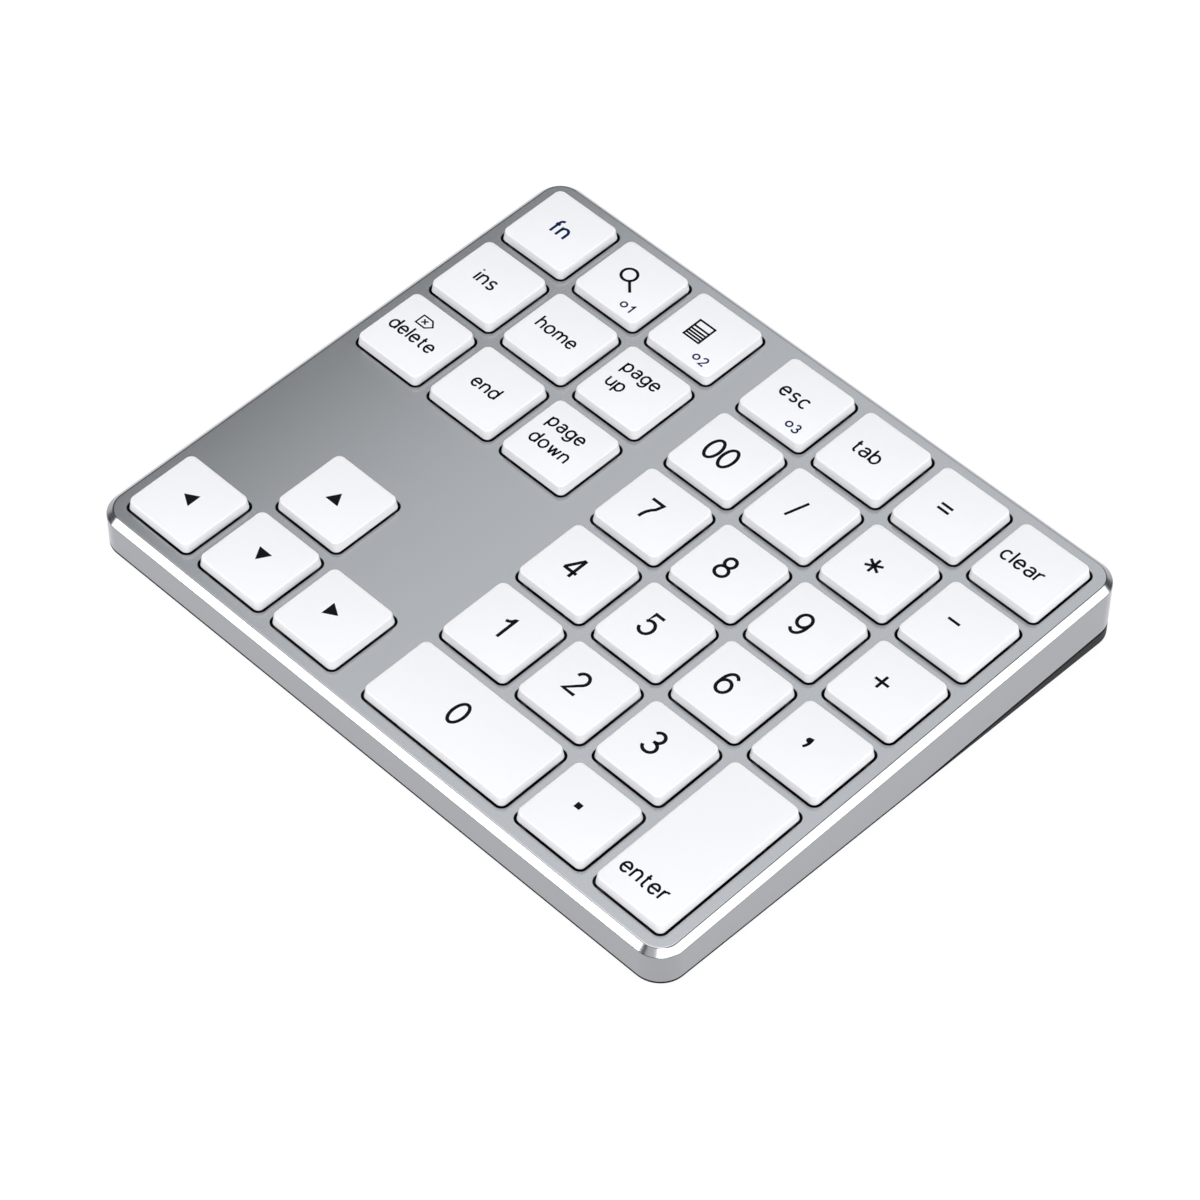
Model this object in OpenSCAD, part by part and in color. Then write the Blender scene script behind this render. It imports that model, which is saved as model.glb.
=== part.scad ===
// Low numeric keypad: a wedge of aluminium shell over a plastic base, thirty-five
// scissor keys, and the electronics of a rechargeable wireless keypad.
// Millimetres. The origin is on the surface that the feet stand on, under the middle
// of the keypad. +X is to the typist's right, +Y to the back and +Z up.

/* [Key grid] */
// Distance from one key centre to the next
key_pitch = 19; // [18.6:0.1:19.4]
// Extra space between the editing keys and the number keys
block_gap = 4.5; // [4:0.1:6]
// Width of the opening that a key sits in
opening_w = 17; // [16.8:0.1:17.2]
// Corner radius of that opening
opening_r = 1.7; // [1.3:0.1:2]

/* [Keycaps] */
// Width of a keycap
cap_w = 16; // [15.6:0.1:16.1]
// Corner radius of a keycap
cap_r = 1.2; // [0.9:0.1:1.5]
// Height of a keycap's top over the deck
cap_rise = 2.1; // [2:0.1:2.6]
// Depth that a keycap's skirt reaches below the deck
cap_skirt = 0.1; // [0:0.1:0.7]
// Thickness of a keycap's top
cap_top_t = 1.2; // [1:0.1:1.3]
// Thickness of a keycap's side
cap_side_t = 1.1; // [0.9:0.1:1.2]
// Bevel along a keycap's upper edge
cap_bevel = 0.3; // [0.1:0.1:0.5]

/* [Shell] */
// Deck left between the outer key openings and the wall
deck_margin = 3.8; // [3.6:0.1:5]
// Corner radius of the body, seen from above
body_r = 5.5; // [5:0.1:6.5]
// Bright chamfer round the deck
edge_chamfer = 1.3; // [1:0.1:1.5]
// Thickness of the deck
deck_t = 1.2; // [1:0.1:1.3]
// Thickness of the shell's walls
wall_t = 1.6; // [1.4:0.1:1.7]
// Depth of the shell's rim below the deck
rim_depth = 11.7; // [11.4:0.1:12]
// Bevel round the shell's lower rim
rim_bevel = 0.45; // [0.3:0.05:0.6]
// Height of the body at its front, across the deck
front_h = 8.4; // [8.3:0.1:8.8]
// Slope of the deck, in degrees
tilt = 3; // [2.8:0.1:3.2]

/* [Base] */
// Thickness of the base cover's floor
floor_t = 1.6; // [1.4:0.1:1.7]
// Height of the feet under the floor
foot_h = 0.8; // [0.6:0.1:1.2]
// Diameter of a foot
foot_d = 9; // [8:0.5:10]
// Shadow gap between the shell's rim and the base cover
seam = 0.15; // [0.1:0.05:0.2]
// Height of the shell's rim over the flat underside, where the wedge is thin
rim_clear = 0.35; // [0.3:0.05:0.5]

/* [Key mechanism] */
// Depth of the membrane's upper face below the deck
membrane_depth = 2.7; // [2.7:0.1:2.8]
// Thickness of the membrane
membrane_t = 0.3; // [0.2:0.1:0.3]
// Thickness of the steel base plate
plate_t = 0.6; // [0.5:0.1:0.7]
// Length of a scissor frame
scissor_len = 9.8; // [9.6:0.1:9.8]
// Width of the outer scissor frame
scissor_w = 11; // [10.8:0.1:11]
// Bar width of a scissor frame
scissor_bar = 0.9; // [0.8:0.05:0.9]
// Diameter of the stabiliser wire
wire_d = 0.8; // [0.7:0.05:0.8]
// Distance from the wire's pivot to its hooked ends
wire_leg = 6.4; // [6.3:0.1:6.5]

/* [Electronics] */
// Battery's width, length and thickness
battery_size = [62, 36, 3.2];
// Circuit board's width, length and thickness
board_size = [92, 18, 1];
// Place of the charging socket along the rear wall
socket_x = -24; // [-30:1:-18]
// Place of the power switch along the rear wall
switch_x = 14; // [8:1:20]
// Place of the indicator along the rear wall
indicator_x = -6; // [-10:1:0]

/* [Hidden] */
$fn = 48;
eps = 0.01;
columns = 7;
rows = 6;
split_column = 3;
span_x = (columns - 1) * key_pitch + block_gap;
span_y = (rows - 1) * key_pitch;
body_w = span_x + opening_w + 2 * deck_margin;
body_d = span_y + opening_w + 2 * deck_margin;
cavity_w = body_w - 2 * wall_t;
cavity_d = body_d - 2 * wall_t;
cavity_r = body_r - wall_t;
rear_h = front_h + body_d * tan(tilt);
middle_h = front_h + body_d / 2 * tan(tilt);
// The deck's middle, above the surface and off the middle of the tilted body
deck_z = foot_h + middle_h * cos(tilt);
deck_y = -(edge_chamfer + rear_h) * sin(tilt) / 2;
floor_z = foot_h + floor_t;

// Each key: name, column from the left, row from the back, columns wide, rows deep
keys = [
    ["fn", 0, 0, 1, 1], ["search", 1, 0, 1, 1], ["calculator", 2, 0, 1, 1], ["esc", 3, 0, 1, 1],
    ["tab", 4, 0, 1, 1], ["equals", 5, 0, 1, 1], ["clear", 6, 0, 1, 1],
    ["insert", 0, 1, 1, 1], ["home", 1, 1, 1, 1], ["page_up", 2, 1, 1, 1], ["double_zero", 3, 1, 1, 1],
    ["divide", 4, 1, 1, 1], ["multiply", 5, 1, 1, 1], ["minus", 6, 1, 1, 1],
    ["delete", 0, 2, 1, 1], ["end", 1, 2, 1, 1], ["page_down", 2, 2, 1, 1], ["7", 3, 2, 1, 1],
    ["8", 4, 2, 1, 1], ["9", 5, 2, 1, 1], ["plus", 6, 2, 1, 1],
    ["4", 3, 3, 1, 1], ["5", 4, 3, 1, 1], ["6", 5, 3, 1, 1], ["comma", 6, 3, 1, 1],
    ["up", 1, 4, 1, 1], ["1", 3, 4, 1, 1], ["2", 4, 4, 1, 1], ["3", 5, 4, 1, 1], ["enter", 6, 4, 1, 2],
    ["left", 0, 5, 1, 1], ["down", 1, 5, 1, 1], ["right", 2, 5, 1, 1], ["0", 3, 5, 2, 1], ["point", 5, 5, 1, 1]
];
function key_x(column) = column * key_pitch + (column >= split_column ? block_gap : 0) - span_x / 2;
function key_y(row) = span_y / 2 - row * key_pitch;
function key_at(key) = [
    (key_x(key[1]) + key_x(key[1] + key[3] - 1)) / 2,
    (key_y(key[2]) + key_y(key[2] + key[4] - 1)) / 2
];
function key_extra(key) = [(key[3] - 1) * key_pitch, (key[4] - 1) * key_pitch];
// Of a key: whether it is long enough for a stabiliser, and the turn that lays it along X
function is_long(key) = key[3] + key[4] > 2;
function turn_of(key) = key[4] > 1 ? 90 : 0;
long_keys = [for (key = keys) if (is_long(key)) key];
short_keys = [for (key = keys) if (!is_long(key)) key];

// Key mechanism, measured down from the deck
plate_top = membrane_depth + membrane_t;
plate_bottom = plate_top + plate_t;
cap_ceiling = cap_rise - cap_top_t;
frame_half = (scissor_len - scissor_bar) / 2;
frame_room = 0.6;
frame_low = frame_room - membrane_depth;
frame_high = cap_ceiling - frame_room;
frame_mid = (frame_low + frame_high) / 2;
frame_angle = asin((frame_high - frame_mid) / frame_half);
frame_gap = 0.2;
inner_frame_w = scissor_w - 2 * scissor_bar - 2 * frame_gap;
// Stabiliser wire: its pivot, its rest angle, and where its hooked ends sit in the cap
wire_y = -5.7;
wire_z = wire_d / 2 + 0.1 - membrane_depth;
wire_end_z = 0.1;
wire_angle = asin((wire_end_z - wire_z) / wire_leg);
wire_half = 13;
wire_hook = 1.6;
pivot_x = 9;
pivot_play = 0.05;
// Guide tabs of the base plate, either side of each scissor
tab_y = 5.5;

// Base plate outline and its fixings
plate_w = cavity_w - 1.6;
plate_d = cavity_d - 1.6;
plate_r = 3.2;
gap_x = (key_x(split_column - 1) + key_x(split_column)) / 2;
boss_places = concat(
    [for (row = [0.5, 1.5, 2.5, 3.5, 4.5]) [gap_x, key_y(row)]],
    [for (column = [0, 2], row = [3, 4]) [key_x(column), key_y(row)]]
);
boss_r = 1.7;
boss_hole_r = 0.6;
pillar_places = [for (x = [-60, 0, 60], y = [-50, 27]) [x, y]];
pillar_r = 3;
standoff_h = 1.5;
standoff_r = 2;
screw_r = 0.9;
screw_play = 0.05;
screw_ledge = plate_bottom + standoff_h + 1.5;
screw_head_r = 1.7;
screw_head_t = 1;

// Electronics, measured from the deck
board_top = 8.6;
board_y = body_d / 2 - wall_t - 2 - board_size[1] / 2;
// Membrane tail: through the base plate at tail_y, then forward to its connector
tail_x = 37;
tail_y = 56;
tail_w = 14;
tail_t = 0.2;
tail_drop = board_top - 0.9;
connector_size = [15, 3.5, 1.3];
connector_y = board_y - 0.7;
header_size = [6, 5, 1.6];
header_y = board_y - 1;
lead_x = -36;
lead_d = 0.9;
socket_w = 8.94;
socket_h = 3.2;
socket_len = 7.4;
socket_z = socket_h / 2 - board_top;
switch_case = [9, 3.4, 3];
knob_size = [2.4, 4, 1.5];
knob_travel = 2;
switch_z = switch_case[2] / 2 - board_top;
rear_y = body_d / 2;
battery_y = -12;
battery_x = 10;
pad_t = 0.3;
foot_places = [for (x = [-1, 1], y = [-1, 1]) [x * (body_w / 2 - 11), y * (body_d / 2 - 11)]];
foot_recess = 0.5;

// ---- shared shapes ----

// Places its children on the sloping deck: Z = 0 is the deck's upper face
module on_deck() translate([0, deck_y, deck_z]) rotate([tilt, 0, 0]) children();

// Everything lower than a height over the flat underside of the body
module below_body(height = 0) translate([-body_w, -body_d, -50]) cube([2 * body_w, 2 * body_d, 50 + foot_h + height]);

module rounded_rect(w, d, r) {
    square([w - 2 * r, d], center = true);
    square([w, d - 2 * r], center = true);
    for (x = [-1, 1], y = [-1, 1])
        translate([x * (w / 2 - r), y * (d / 2 - r)]) circle(r);
}

// Block hanging h below Z = 0, with round corners and bevelled upper and lower edges
module bevelled_block(w, d, r, h, top, bottom) {
    side = concat(
        [[0, 0], [r - top, 0], [r, -top]],
        bottom > 0 ? [[r, bottom - h], [r - bottom, -h]] : [[r, -h]],
        [[0, -h]]
    );
    rotate([90, 0, 90]) linear_extrude(w - 2 * r, center = true)
        for (m = [0, 1]) mirror([m, 0]) {
            translate([d / 2 - r, 0]) polygon(side);
            translate([-eps, -h]) square([d / 2 - r + eps, h]);
        }
    for (m = [0, 1]) mirror([m, 0, 0]) {
        translate([w / 2 - r, 0, 0]) rotate([90, 0, 0]) linear_extrude(d - 2 * r, center = true) polygon(side);
        for (n = [0, 1]) mirror([0, n, 0])
            translate([w / 2 - r, d / 2 - r, 0]) rotate_extrude(angle = 90) polygon(side);
    }
}

// Outline of the opening in the deck for one key
module key_opening(key)
    translate(key_at(key))
        rounded_rect(opening_w + key_extra(key)[0], opening_w + key_extra(key)[1], opening_r);

// Puts its children at each key's middle, turned so that a long key lies along X
module at_keys(chosen = keys)
    for (key = chosen) translate(key_at(key)) rotate([0, 0, turn_of(key)]) children();

// ---- keys ----

// One keycap: a hollow cap with four guide tabs for its scissor, and on a long key
// two slotted lugs that hold the ends of the stabiliser wire
module keycap(key) {
    w = cap_w + key_extra(key)[0];
    d = cap_w + key_extra(key)[1];
    h = cap_rise + cap_skirt;
    color("#F3F3F7") on_deck() translate(concat(key_at(key), [cap_rise])) {
        difference() {
            bevelled_block(w, d, cap_r, h, cap_bevel, 0);
            translate([0, 0, -h - 1]) linear_extrude(h + 1 - cap_top_t)
                rounded_rect(w - 2 * cap_side_t, d - 2 * cap_side_t, cap_r / 2);
        }
        rotate([0, 0, turn_of(key)]) translate([0, 0, -cap_rise]) {
            for (x = [-1, 1], y = [-1, 1])
                translate([x * 2.7 - 0.5, y * 3.3 - 0.22, 0.35]) cube([1, 0.44, cap_ceiling - 0.35 + eps]);
            if (is_long(key))
                for (x = [-1, 1]) translate([x * (wire_half + 1.05), 0, 0]) wire_lug();
        }
    }
}

// Lug under a long keycap, with a slot that the hooked end of the wire slides in
module wire_lug() {
    slot_r = wire_d / 2 + 0.12;
    foot = 0.6;
    rest_y = wire_y + wire_leg * cos(wire_angle);
    difference() {
        translate([-0.5, rest_y - 1.4, -foot]) cube([1, 3.4, cap_ceiling + foot + eps]);
        translate([-1, rest_y, wire_end_z]) rotate([0, 90, 0]) cylinder(r = slot_r, h = 2);
        translate([-1, rest_y + 0.6, wire_end_z]) rotate([0, 90, 0]) cylinder(r = slot_r, h = 2);
        translate([-1, rest_y, wire_end_z - slot_r]) cube([2, 0.6, 2 * slot_r]);
    }
}

// Bent wire that keeps a long key level: a pivot bar, two legs and two hooked ends
module stabiliser_wire() {
    translate([-wire_half, wire_y, wire_z]) rotate([0, 90, 0]) cylinder(d = wire_d, h = 2 * wire_half);
    for (x = [-1, 1]) translate([x * wire_half, wire_y, wire_z]) rotate([wire_angle, 0, 0]) {
        sphere(d = wire_d);
        rotate([-90, 0, 0]) cylinder(d = wire_d, h = wire_leg);
        translate([0, wire_leg, 0]) {
            sphere(d = wire_d);
            rotate([0, x * 90, 0]) cylinder(d = wire_d, h = wire_hook);
        }
    }
}

module zero_key_stabiliser()
    color("#B9BBBD") on_deck() at_keys([for (key = keys) if (key[3] > 1) key]) stabiliser_wire();

module enter_key_stabiliser()
    color("#B9BBBD") on_deck() at_keys([for (key = keys) if (key[4] > 1) key]) stabiliser_wire();

// One ring of a scissor lift, lying flat about its own pivot line
module scissor_ring(w)
    linear_extrude(scissor_bar, center = true) difference() {
        square([w, scissor_len], center = true);
        square([w - 2 * scissor_bar, scissor_len - 2 * scissor_bar], center = true);
    }

module outer_scissor_frames()
    color("#ECECE6") on_deck() at_keys()
        translate([0, 0, frame_mid]) rotate([frame_angle, 0, 0]) difference() {
            scissor_ring(scissor_w);
            rotate([0, 90, 0]) cylinder(d = 0.56, h = scissor_w - scissor_bar, center = true);
        }

module inner_scissor_frames()
    color("#E2E3DE") on_deck() at_keys()
        translate([0, 0, frame_mid]) rotate([-frame_angle, 0, 0]) {
            scissor_ring(inner_frame_w);
            for (m = [0, 1]) mirror([m, 0, 0])
                translate([inner_frame_w / 2 - 0.3, 0, 0]) rotate([0, 90, 0]) cylinder(d = 0.46, h = 0.85);
        }

// Hollow rubber spring under each key, its nub just below the keycap
module rubber_domes() {
    nub = membrane_depth + cap_ceiling - 0.1;
    color("#D9DBD6") on_deck() at_keys() translate([0, 0, -membrane_depth])
        rotate_extrude() polygon([
            [3.25, 0], [3.25, 0.35], [2.85, 0.5], [2.1, nub - 1.1], [2.1, nub], [0, nub],
            [0, nub - 0.8], [1.6, nub - 0.8], [1.6, nub - 1.4], [2.4, 0]
        ]);
}

module membrane_sheet()
    color("#C9D2D0") on_deck() translate([0, 0, -plate_top]) linear_extrude(membrane_t) difference() {
        rounded_rect(plate_w - 1, plate_d - 1, plate_r);
        for (place = boss_places) translate(place) circle(boss_r + 0.3);
        at_keys(long_keys)
            for (x = [-1, 1]) translate([x * pivot_x, wire_y]) square([2.2, 2.4], center = true);
        at_keys() translate([0, tab_y]) square([3.4, 0.9], center = true);
        at_keys(short_keys) translate([0, -tab_y]) square([3.4, 0.9], center = true);
    }

module guide_tab() translate([-1.4, -0.2, -plate_top - eps]) cube([2.8, 0.4, membrane_t + 0.8]);

// Steel plate under the membrane: guide tabs for each scissor, pivot blocks for the
// stabiliser wires, and threaded standoffs for the case screws
module base_plate()
    color("#8E9296") on_deck() difference() {
        union() {
            translate([0, 0, -plate_bottom]) linear_extrude(plate_t) rounded_rect(plate_w, plate_d, plate_r);
            at_keys() translate([0, tab_y]) guide_tab();
            at_keys(short_keys) translate([0, -tab_y]) guide_tab();
            at_keys(long_keys) for (x = [-1, 1])
                translate([x * pivot_x - 0.8, wire_y - 0.85, -plate_top - eps])
                    cube([1.6, 1.7, plate_top + wire_z + 0.85]);
            for (place = pillar_places) translate(concat(place, [-plate_bottom - standoff_h]))
                cylinder(r = standoff_r, h = standoff_h + eps);
        }
        at_keys(long_keys)
            translate([0, wire_y, wire_z]) rotate([0, 90, 0])
                cylinder(d = wire_d + 2 * pivot_play, h = 2 * pivot_x + 4, center = true);
        for (place = pillar_places) translate(concat(place, [-plate_bottom - standoff_h - 1]))
            cylinder(r = screw_r, h = standoff_h + plate_t + 2);
        for (place = boss_places) translate(concat(place, [-plate_bottom - 1]))
            cylinder(r = boss_hole_r + 0.1, h = plate_t + 2);
        translate([tail_x - tail_w / 2 - 0.3, tail_y - 0.3, -plate_bottom - 1]) cube([tail_w + 0.6, 0.8, plate_t + 2]);
    }

module module_screws()
    color("#6F7376") on_deck() for (place = boss_places) translate(concat(place, [-plate_bottom])) {
        difference() {
            translate([0, 0, -0.5]) cylinder(r = 1.2, h = 0.5);
            translate([0, 0, -0.6]) linear_extrude(0.4) cross_slot(1.2, 0.3);
        }
        translate([0, 0, -eps]) cylinder(r = boss_hole_r - screw_play, h = 1.9);
    }

module cross_slot(l, w) {
    square([l, w], center = true);
    square([w, l], center = true);
}

// ---- casing ----

// Openings in the rear wall, drawn looking at the wall and cut along Y
module rear_cut(x, z, depth) translate([x, rear_y + 1, z]) rotate([90, 0, 0]) linear_extrude(depth) children();

module rear_openings() {
    rear_cut(socket_x, socket_z, wall_t + 2) rounded_rect(socket_w + 0.4, socket_h + 0.4, (socket_h + 0.4) / 2 - eps);
    rear_cut(switch_x + knob_travel / 2, switch_z, wall_t + 2)
        rounded_rect(knob_size[0] + knob_travel + 0.8, knob_size[2] + 0.8, 0.6);
    rear_cut(indicator_x, switch_z, wall_t + 2) circle(d = 1.9);
}

module top_shell()
    color("#AEB2B5") difference() {
        on_deck() difference() {
            union() {
                difference() {
                    bevelled_block(body_w, body_d, body_r, rim_depth, edge_chamfer, rim_bevel);
                    translate([0, 0, -rim_depth - 1]) linear_extrude(rim_depth + 1 - deck_t)
                        rounded_rect(cavity_w, cavity_d, cavity_r);
                }
                for (place = boss_places) translate(concat(place, [-plate_top]))
                    cylinder(r = boss_r, h = plate_top - deck_t + eps);
            }
            translate([0, 0, -deck_t - 0.5]) linear_extrude(deck_t + 1) for (key = keys) key_opening(key);
            for (place = boss_places) translate(concat(place, [-plate_top - 1]))
                cylinder(r = boss_hole_r, h = plate_top + 1 - 0.7);
            rear_openings();
        }
        below_body(rim_clear);
    }

// Plastic tray: its lip nests inside the shell, and its own side shows below the rim, most
// of all where the wedge is deeper than the shell
module bottom_cover() {
    nest = 0.2;
    lip_t = 1.4;
    lip_top = 5.2;
    nest_w = cavity_w - 2 * nest;
    nest_d = cavity_d - 2 * nest;
    nest_r = cavity_r - nest;
    color("#1B1C1E") difference() {
        union() {
            on_deck() translate([0, 0, -rear_h - 1]) {
                linear_extrude(rear_h + 1 - rim_depth - seam) rounded_rect(body_w, body_d, body_r);
                linear_extrude(rear_h + 1 - lip_top) rounded_rect(nest_w, nest_d, nest_r);
            }
            intersection() {
                on_deck() translate([0, 0, -rear_h - 1]) linear_extrude(rear_h) rounded_rect(body_w, body_d, body_r);
                below_body(rim_clear - seam);
            }
        }
        difference() {
            on_deck() translate([0, 0, -rear_h - 2]) linear_extrude(rear_h + 2)
                rounded_rect(nest_w - 2 * lip_t, nest_d - 2 * lip_t, nest_r - lip_t);
            translate([-body_w, -body_d, -50]) cube([2 * body_w, 2 * body_d, 50 + floor_z]);
            // Pillars for the case screws, posts for the circuit board and a fence round the battery
            on_deck() for (place = pillar_places) translate(concat(place, [-rear_h - 1]))
                cylinder(r = pillar_r, h = rear_h + 1 - plate_bottom - standoff_h);
            on_deck() for (place = board_posts()) translate(concat(place, [-rear_h - 1]))
                cylinder(r = 2.2, h = rear_h + 1 - board_top - board_size[2]);
            translate([battery_x, battery_y, floor_z]) linear_extrude(2.4) difference() {
                square([battery_size[0] + 2.2, battery_size[1] + 2.2], center = true);
                square([battery_size[0] + 0.6, battery_size[1] + 0.6], center = true);
                square([battery_size[0] - 12, battery_size[1] + 3], center = true);
                square([battery_size[0] + 3, battery_size[1] - 12], center = true);
            }
        }
        // Screw holes with deep counterbores
        on_deck() for (place = pillar_places) translate(concat(place, [-rear_h - 2])) {
            cylinder(r = screw_r + 0.2, h = rear_h + 2);
            cylinder(r = screw_head_r + 0.3, h = rear_h + 2 - screw_ledge);
        }
        on_deck() for (place = board_posts()) translate(concat(place, [-board_top - board_size[2] - 2]))
            cylinder(r = boss_hole_r, h = 3);
        // Notches in the lip for the socket, the switch and the indicator
        on_deck() for (notch = [[socket_x, socket_w + 1], [switch_x + knob_travel / 2, switch_case[0] + 0.6], [indicator_x, 4]])
            translate([notch[0] - notch[1] / 2, rear_y - 6, -board_top - 0.2]) cube([notch[1], 8, 6]);
        // Shallow seats for the feet
        for (place = foot_places) translate(concat(place, [foot_h - 1])) cylinder(d = foot_d + 0.2, h = 1 + foot_recess);
        below_body();
    }
}

function board_posts() = [for (x = [-1, 1]) [x * (board_size[0] / 2 - 3), board_y - board_size[1] / 2 + 3]];

module case_screws()
    color("#3A3C3F") on_deck() for (place = pillar_places) translate(concat(place, [-screw_ledge])) {
        difference() {
            translate([0, 0, -screw_head_t]) cylinder(r = screw_head_r, h = screw_head_t);
            translate([0, 0, -screw_head_t - 0.1]) linear_extrude(0.6) cross_slot(2, 0.45);
        }
        translate([0, 0, -eps]) cylinder(r = screw_r - screw_play, h = screw_ledge - plate_top - 0.1);
    }

module rubber_feet()
    color("#26272A") for (place = foot_places) translate(place) rotate_extrude() polygon([
        [0, 0], [foot_d / 2 - 0.3, 0], [foot_d / 2, 0.3], [foot_d / 2, foot_h + foot_recess], [0, foot_h + foot_recess]
    ]);

// ---- electronics ----

module circuit_board()
    color("#1F6B3A") on_deck() translate([0, board_y, -board_top - board_size[2]]) linear_extrude(board_size[2])
        difference() {
            rounded_rect(board_size[0], board_size[1], 1.5);
            for (place = board_posts()) translate([place[0], place[1] - board_y]) circle(boss_hole_r + 0.15);
        }

module board_screws()
    color("#6F7376") on_deck() for (place = board_posts()) translate(concat(place, [-board_top])) {
        difference() {
            cylinder(r = 1.3, h = 0.6);
            translate([0, 0, 0.25]) linear_extrude(0.5) cross_slot(1.3, 0.3);
        }
        translate([0, 0, -2.6]) cylinder(r = boss_hole_r - screw_play, h = 2.6 + eps);
    }

// Controller, radio module, charger, crystal and indicator light, the tail's connector,
// and on the underside the battery's header. Each is its middle and its size
module board_chips() {
    chips = [
        [[5, board_y - 2], [7, 7, 0.9]], [[21, board_y - 2], [10, 12, 1.8]], [[-12, board_y - 3], [4, 4, 0.8]],
        [[12.4, board_y - 4], [3.2, 2.5, 0.7]], [[indicator_x, board_y + 7.6], [1.6, 0.8, 1.9]],
        [[tail_x, connector_y], connector_size]
    ];
    color("#202225") on_deck() {
        for (chip = chips) translate(concat(chip[0] - [chip[1][0], chip[1][1]] / 2, [-board_top])) cube(chip[1]);
        translate([lead_x - header_size[0] / 2, header_y - header_size[1] / 2, -board_top - board_size[2] - header_size[2]])
            cube(header_size);
    }
}

module battery_cell()
    color("#C4C7CB") translate([battery_x, battery_y, floor_z + pad_t])
        linear_extrude(battery_size[2]) rounded_rect(battery_size[0], battery_size[1], 1.6);

module battery_pad()
    color("#4C4E52") translate([battery_x, battery_y, floor_z])
        linear_extrude(pad_t) square([battery_size[0] - 8, battery_size[1] - 8], center = true);

// Two-wire lead from the cell's side to its header under the board
module battery_lead()
    color("#B3352E") for (side = [-1, 1]) {
        lead_z = floor_z + pad_t + 1.4;
        cell_x = battery_x - battery_size[0] / 2;
        plug_y = deck_y + (header_y - header_size[1] / 2) * cos(tilt) + (board_top + 1.5) * sin(tilt) - 0.05;
        start = [lead_x + side * 0.55, battery_y + 8 + side * 1.6, lead_z];
        translate(start) {
            rotate([-90, 0, 0]) cylinder(d = lead_d, h = plug_y - start[1]);
            sphere(d = lead_d);
            rotate([0, 90, 0]) cylinder(d = lead_d, h = cell_x - start[0]);
        }
    }

// Outline of the charging socket, looking along it
module socket_outline(grow) rounded_rect(socket_w + grow, socket_h + grow, (socket_h + grow) / 2 - eps);

module usb_socket_shell()
    color("#B4B7BA") on_deck() translate([socket_x, rear_y - 0.3, socket_z]) rotate([90, 0, 0]) difference() {
        linear_extrude(socket_len) socket_outline(0);
        translate([0, 0, -1]) linear_extrude(socket_len + 0.2) socket_outline(-0.6);
    }

module usb_socket_tongue()
    color("#1D1E20") on_deck() translate([socket_x, rear_y - 0.3, socket_z]) rotate([90, 0, 0])
        translate([0, 0, 0.8]) {
            translate([0, 0, 4.4]) linear_extrude(1.3) socket_outline(-0.64);
            linear_extrude(4.5) square([6.7, 0.7], center = true);
        }

module power_switch_case()
    color("#2A2B2E") on_deck() translate([switch_x + knob_travel / 2, rear_y - 2.1 - switch_case[1] / 2, switch_z])
        difference() {
            cube(switch_case, center = true);
            translate([0, 1, 0]) cube([knob_size[0] + knob_travel + 0.6, switch_case[1], knob_size[2] + 0.3], center = true);
        }

// Sliding knob, with three ribs on the face that a fingertip moves
module power_switch_knob()
    color("#1B1C1E") on_deck() translate([switch_x, rear_y - 0.25, switch_z]) difference() {
        translate([-knob_size[0] / 2, -knob_size[1], -knob_size[2] / 2]) cube(knob_size);
        for (x = [-0.6, 0, 0.6]) translate([x, 0, 0]) rotate([0, 0, 45]) cube([0.3, 0.3, 4], center = true);
    }

module indicator_light_pipe()
    color("#E8F0F4") on_deck() translate([indicator_x, rear_y - 0.1, switch_z]) rotate([90, 0, 0]) {
        cylinder(d = 1.6, h = 3);
        translate([0, 0, 3 - eps]) cylinder(d = 2.4, h = 1.2);
    }

// Flat tail that joins the membrane to the board, down through the base plate
module membrane_tail() {
    front = connector_y + connector_size[1] / 2;
    color("#D8B45A") on_deck() translate([tail_x - tail_w / 2, 0, 0]) rotate([90, 0, 90]) linear_extrude(tail_w)
        polygon([
            [tail_y, -plate_top], [tail_y, tail_t - tail_drop], [front, tail_t - tail_drop],
            [front, -tail_drop], [tail_y + tail_t, -tail_drop], [tail_y + tail_t, -plate_top]
        ]);
}

// ---- one line for each node ----

for (key = keys) keycap(key);
top_shell();
bottom_cover();
base_plate();
membrane_sheet();
rubber_domes();
outer_scissor_frames();
inner_scissor_frames();
zero_key_stabiliser();
enter_key_stabiliser();
module_screws();
circuit_board();
board_chips();
board_screws();
battery_cell();
battery_pad();
battery_lead();
usb_socket_shell();
usb_socket_tongue();
power_switch_case();
power_switch_knob();
indicator_light_pipe();
membrane_tail();
case_screws();
rubber_feet();
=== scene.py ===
"""Low numeric keypad: an aluminium shell, thirty-five printed keycaps and what is under them.

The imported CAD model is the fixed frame, and this script gives it its looks. Shapes are
worked out on the sloping deck, where Z = 0 is the deck's upper face and the origin is
its middle, and are then placed in the shared frame. Everything is in metres.
"""
import math

import bmesh
import bpy
import numpy as np
from bpy.props import FloatProperty, FloatVectorProperty, PointerProperty
from bpy.types import Operator, Panel, PropertyGroup
from mathutils import Matrix, Vector


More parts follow.
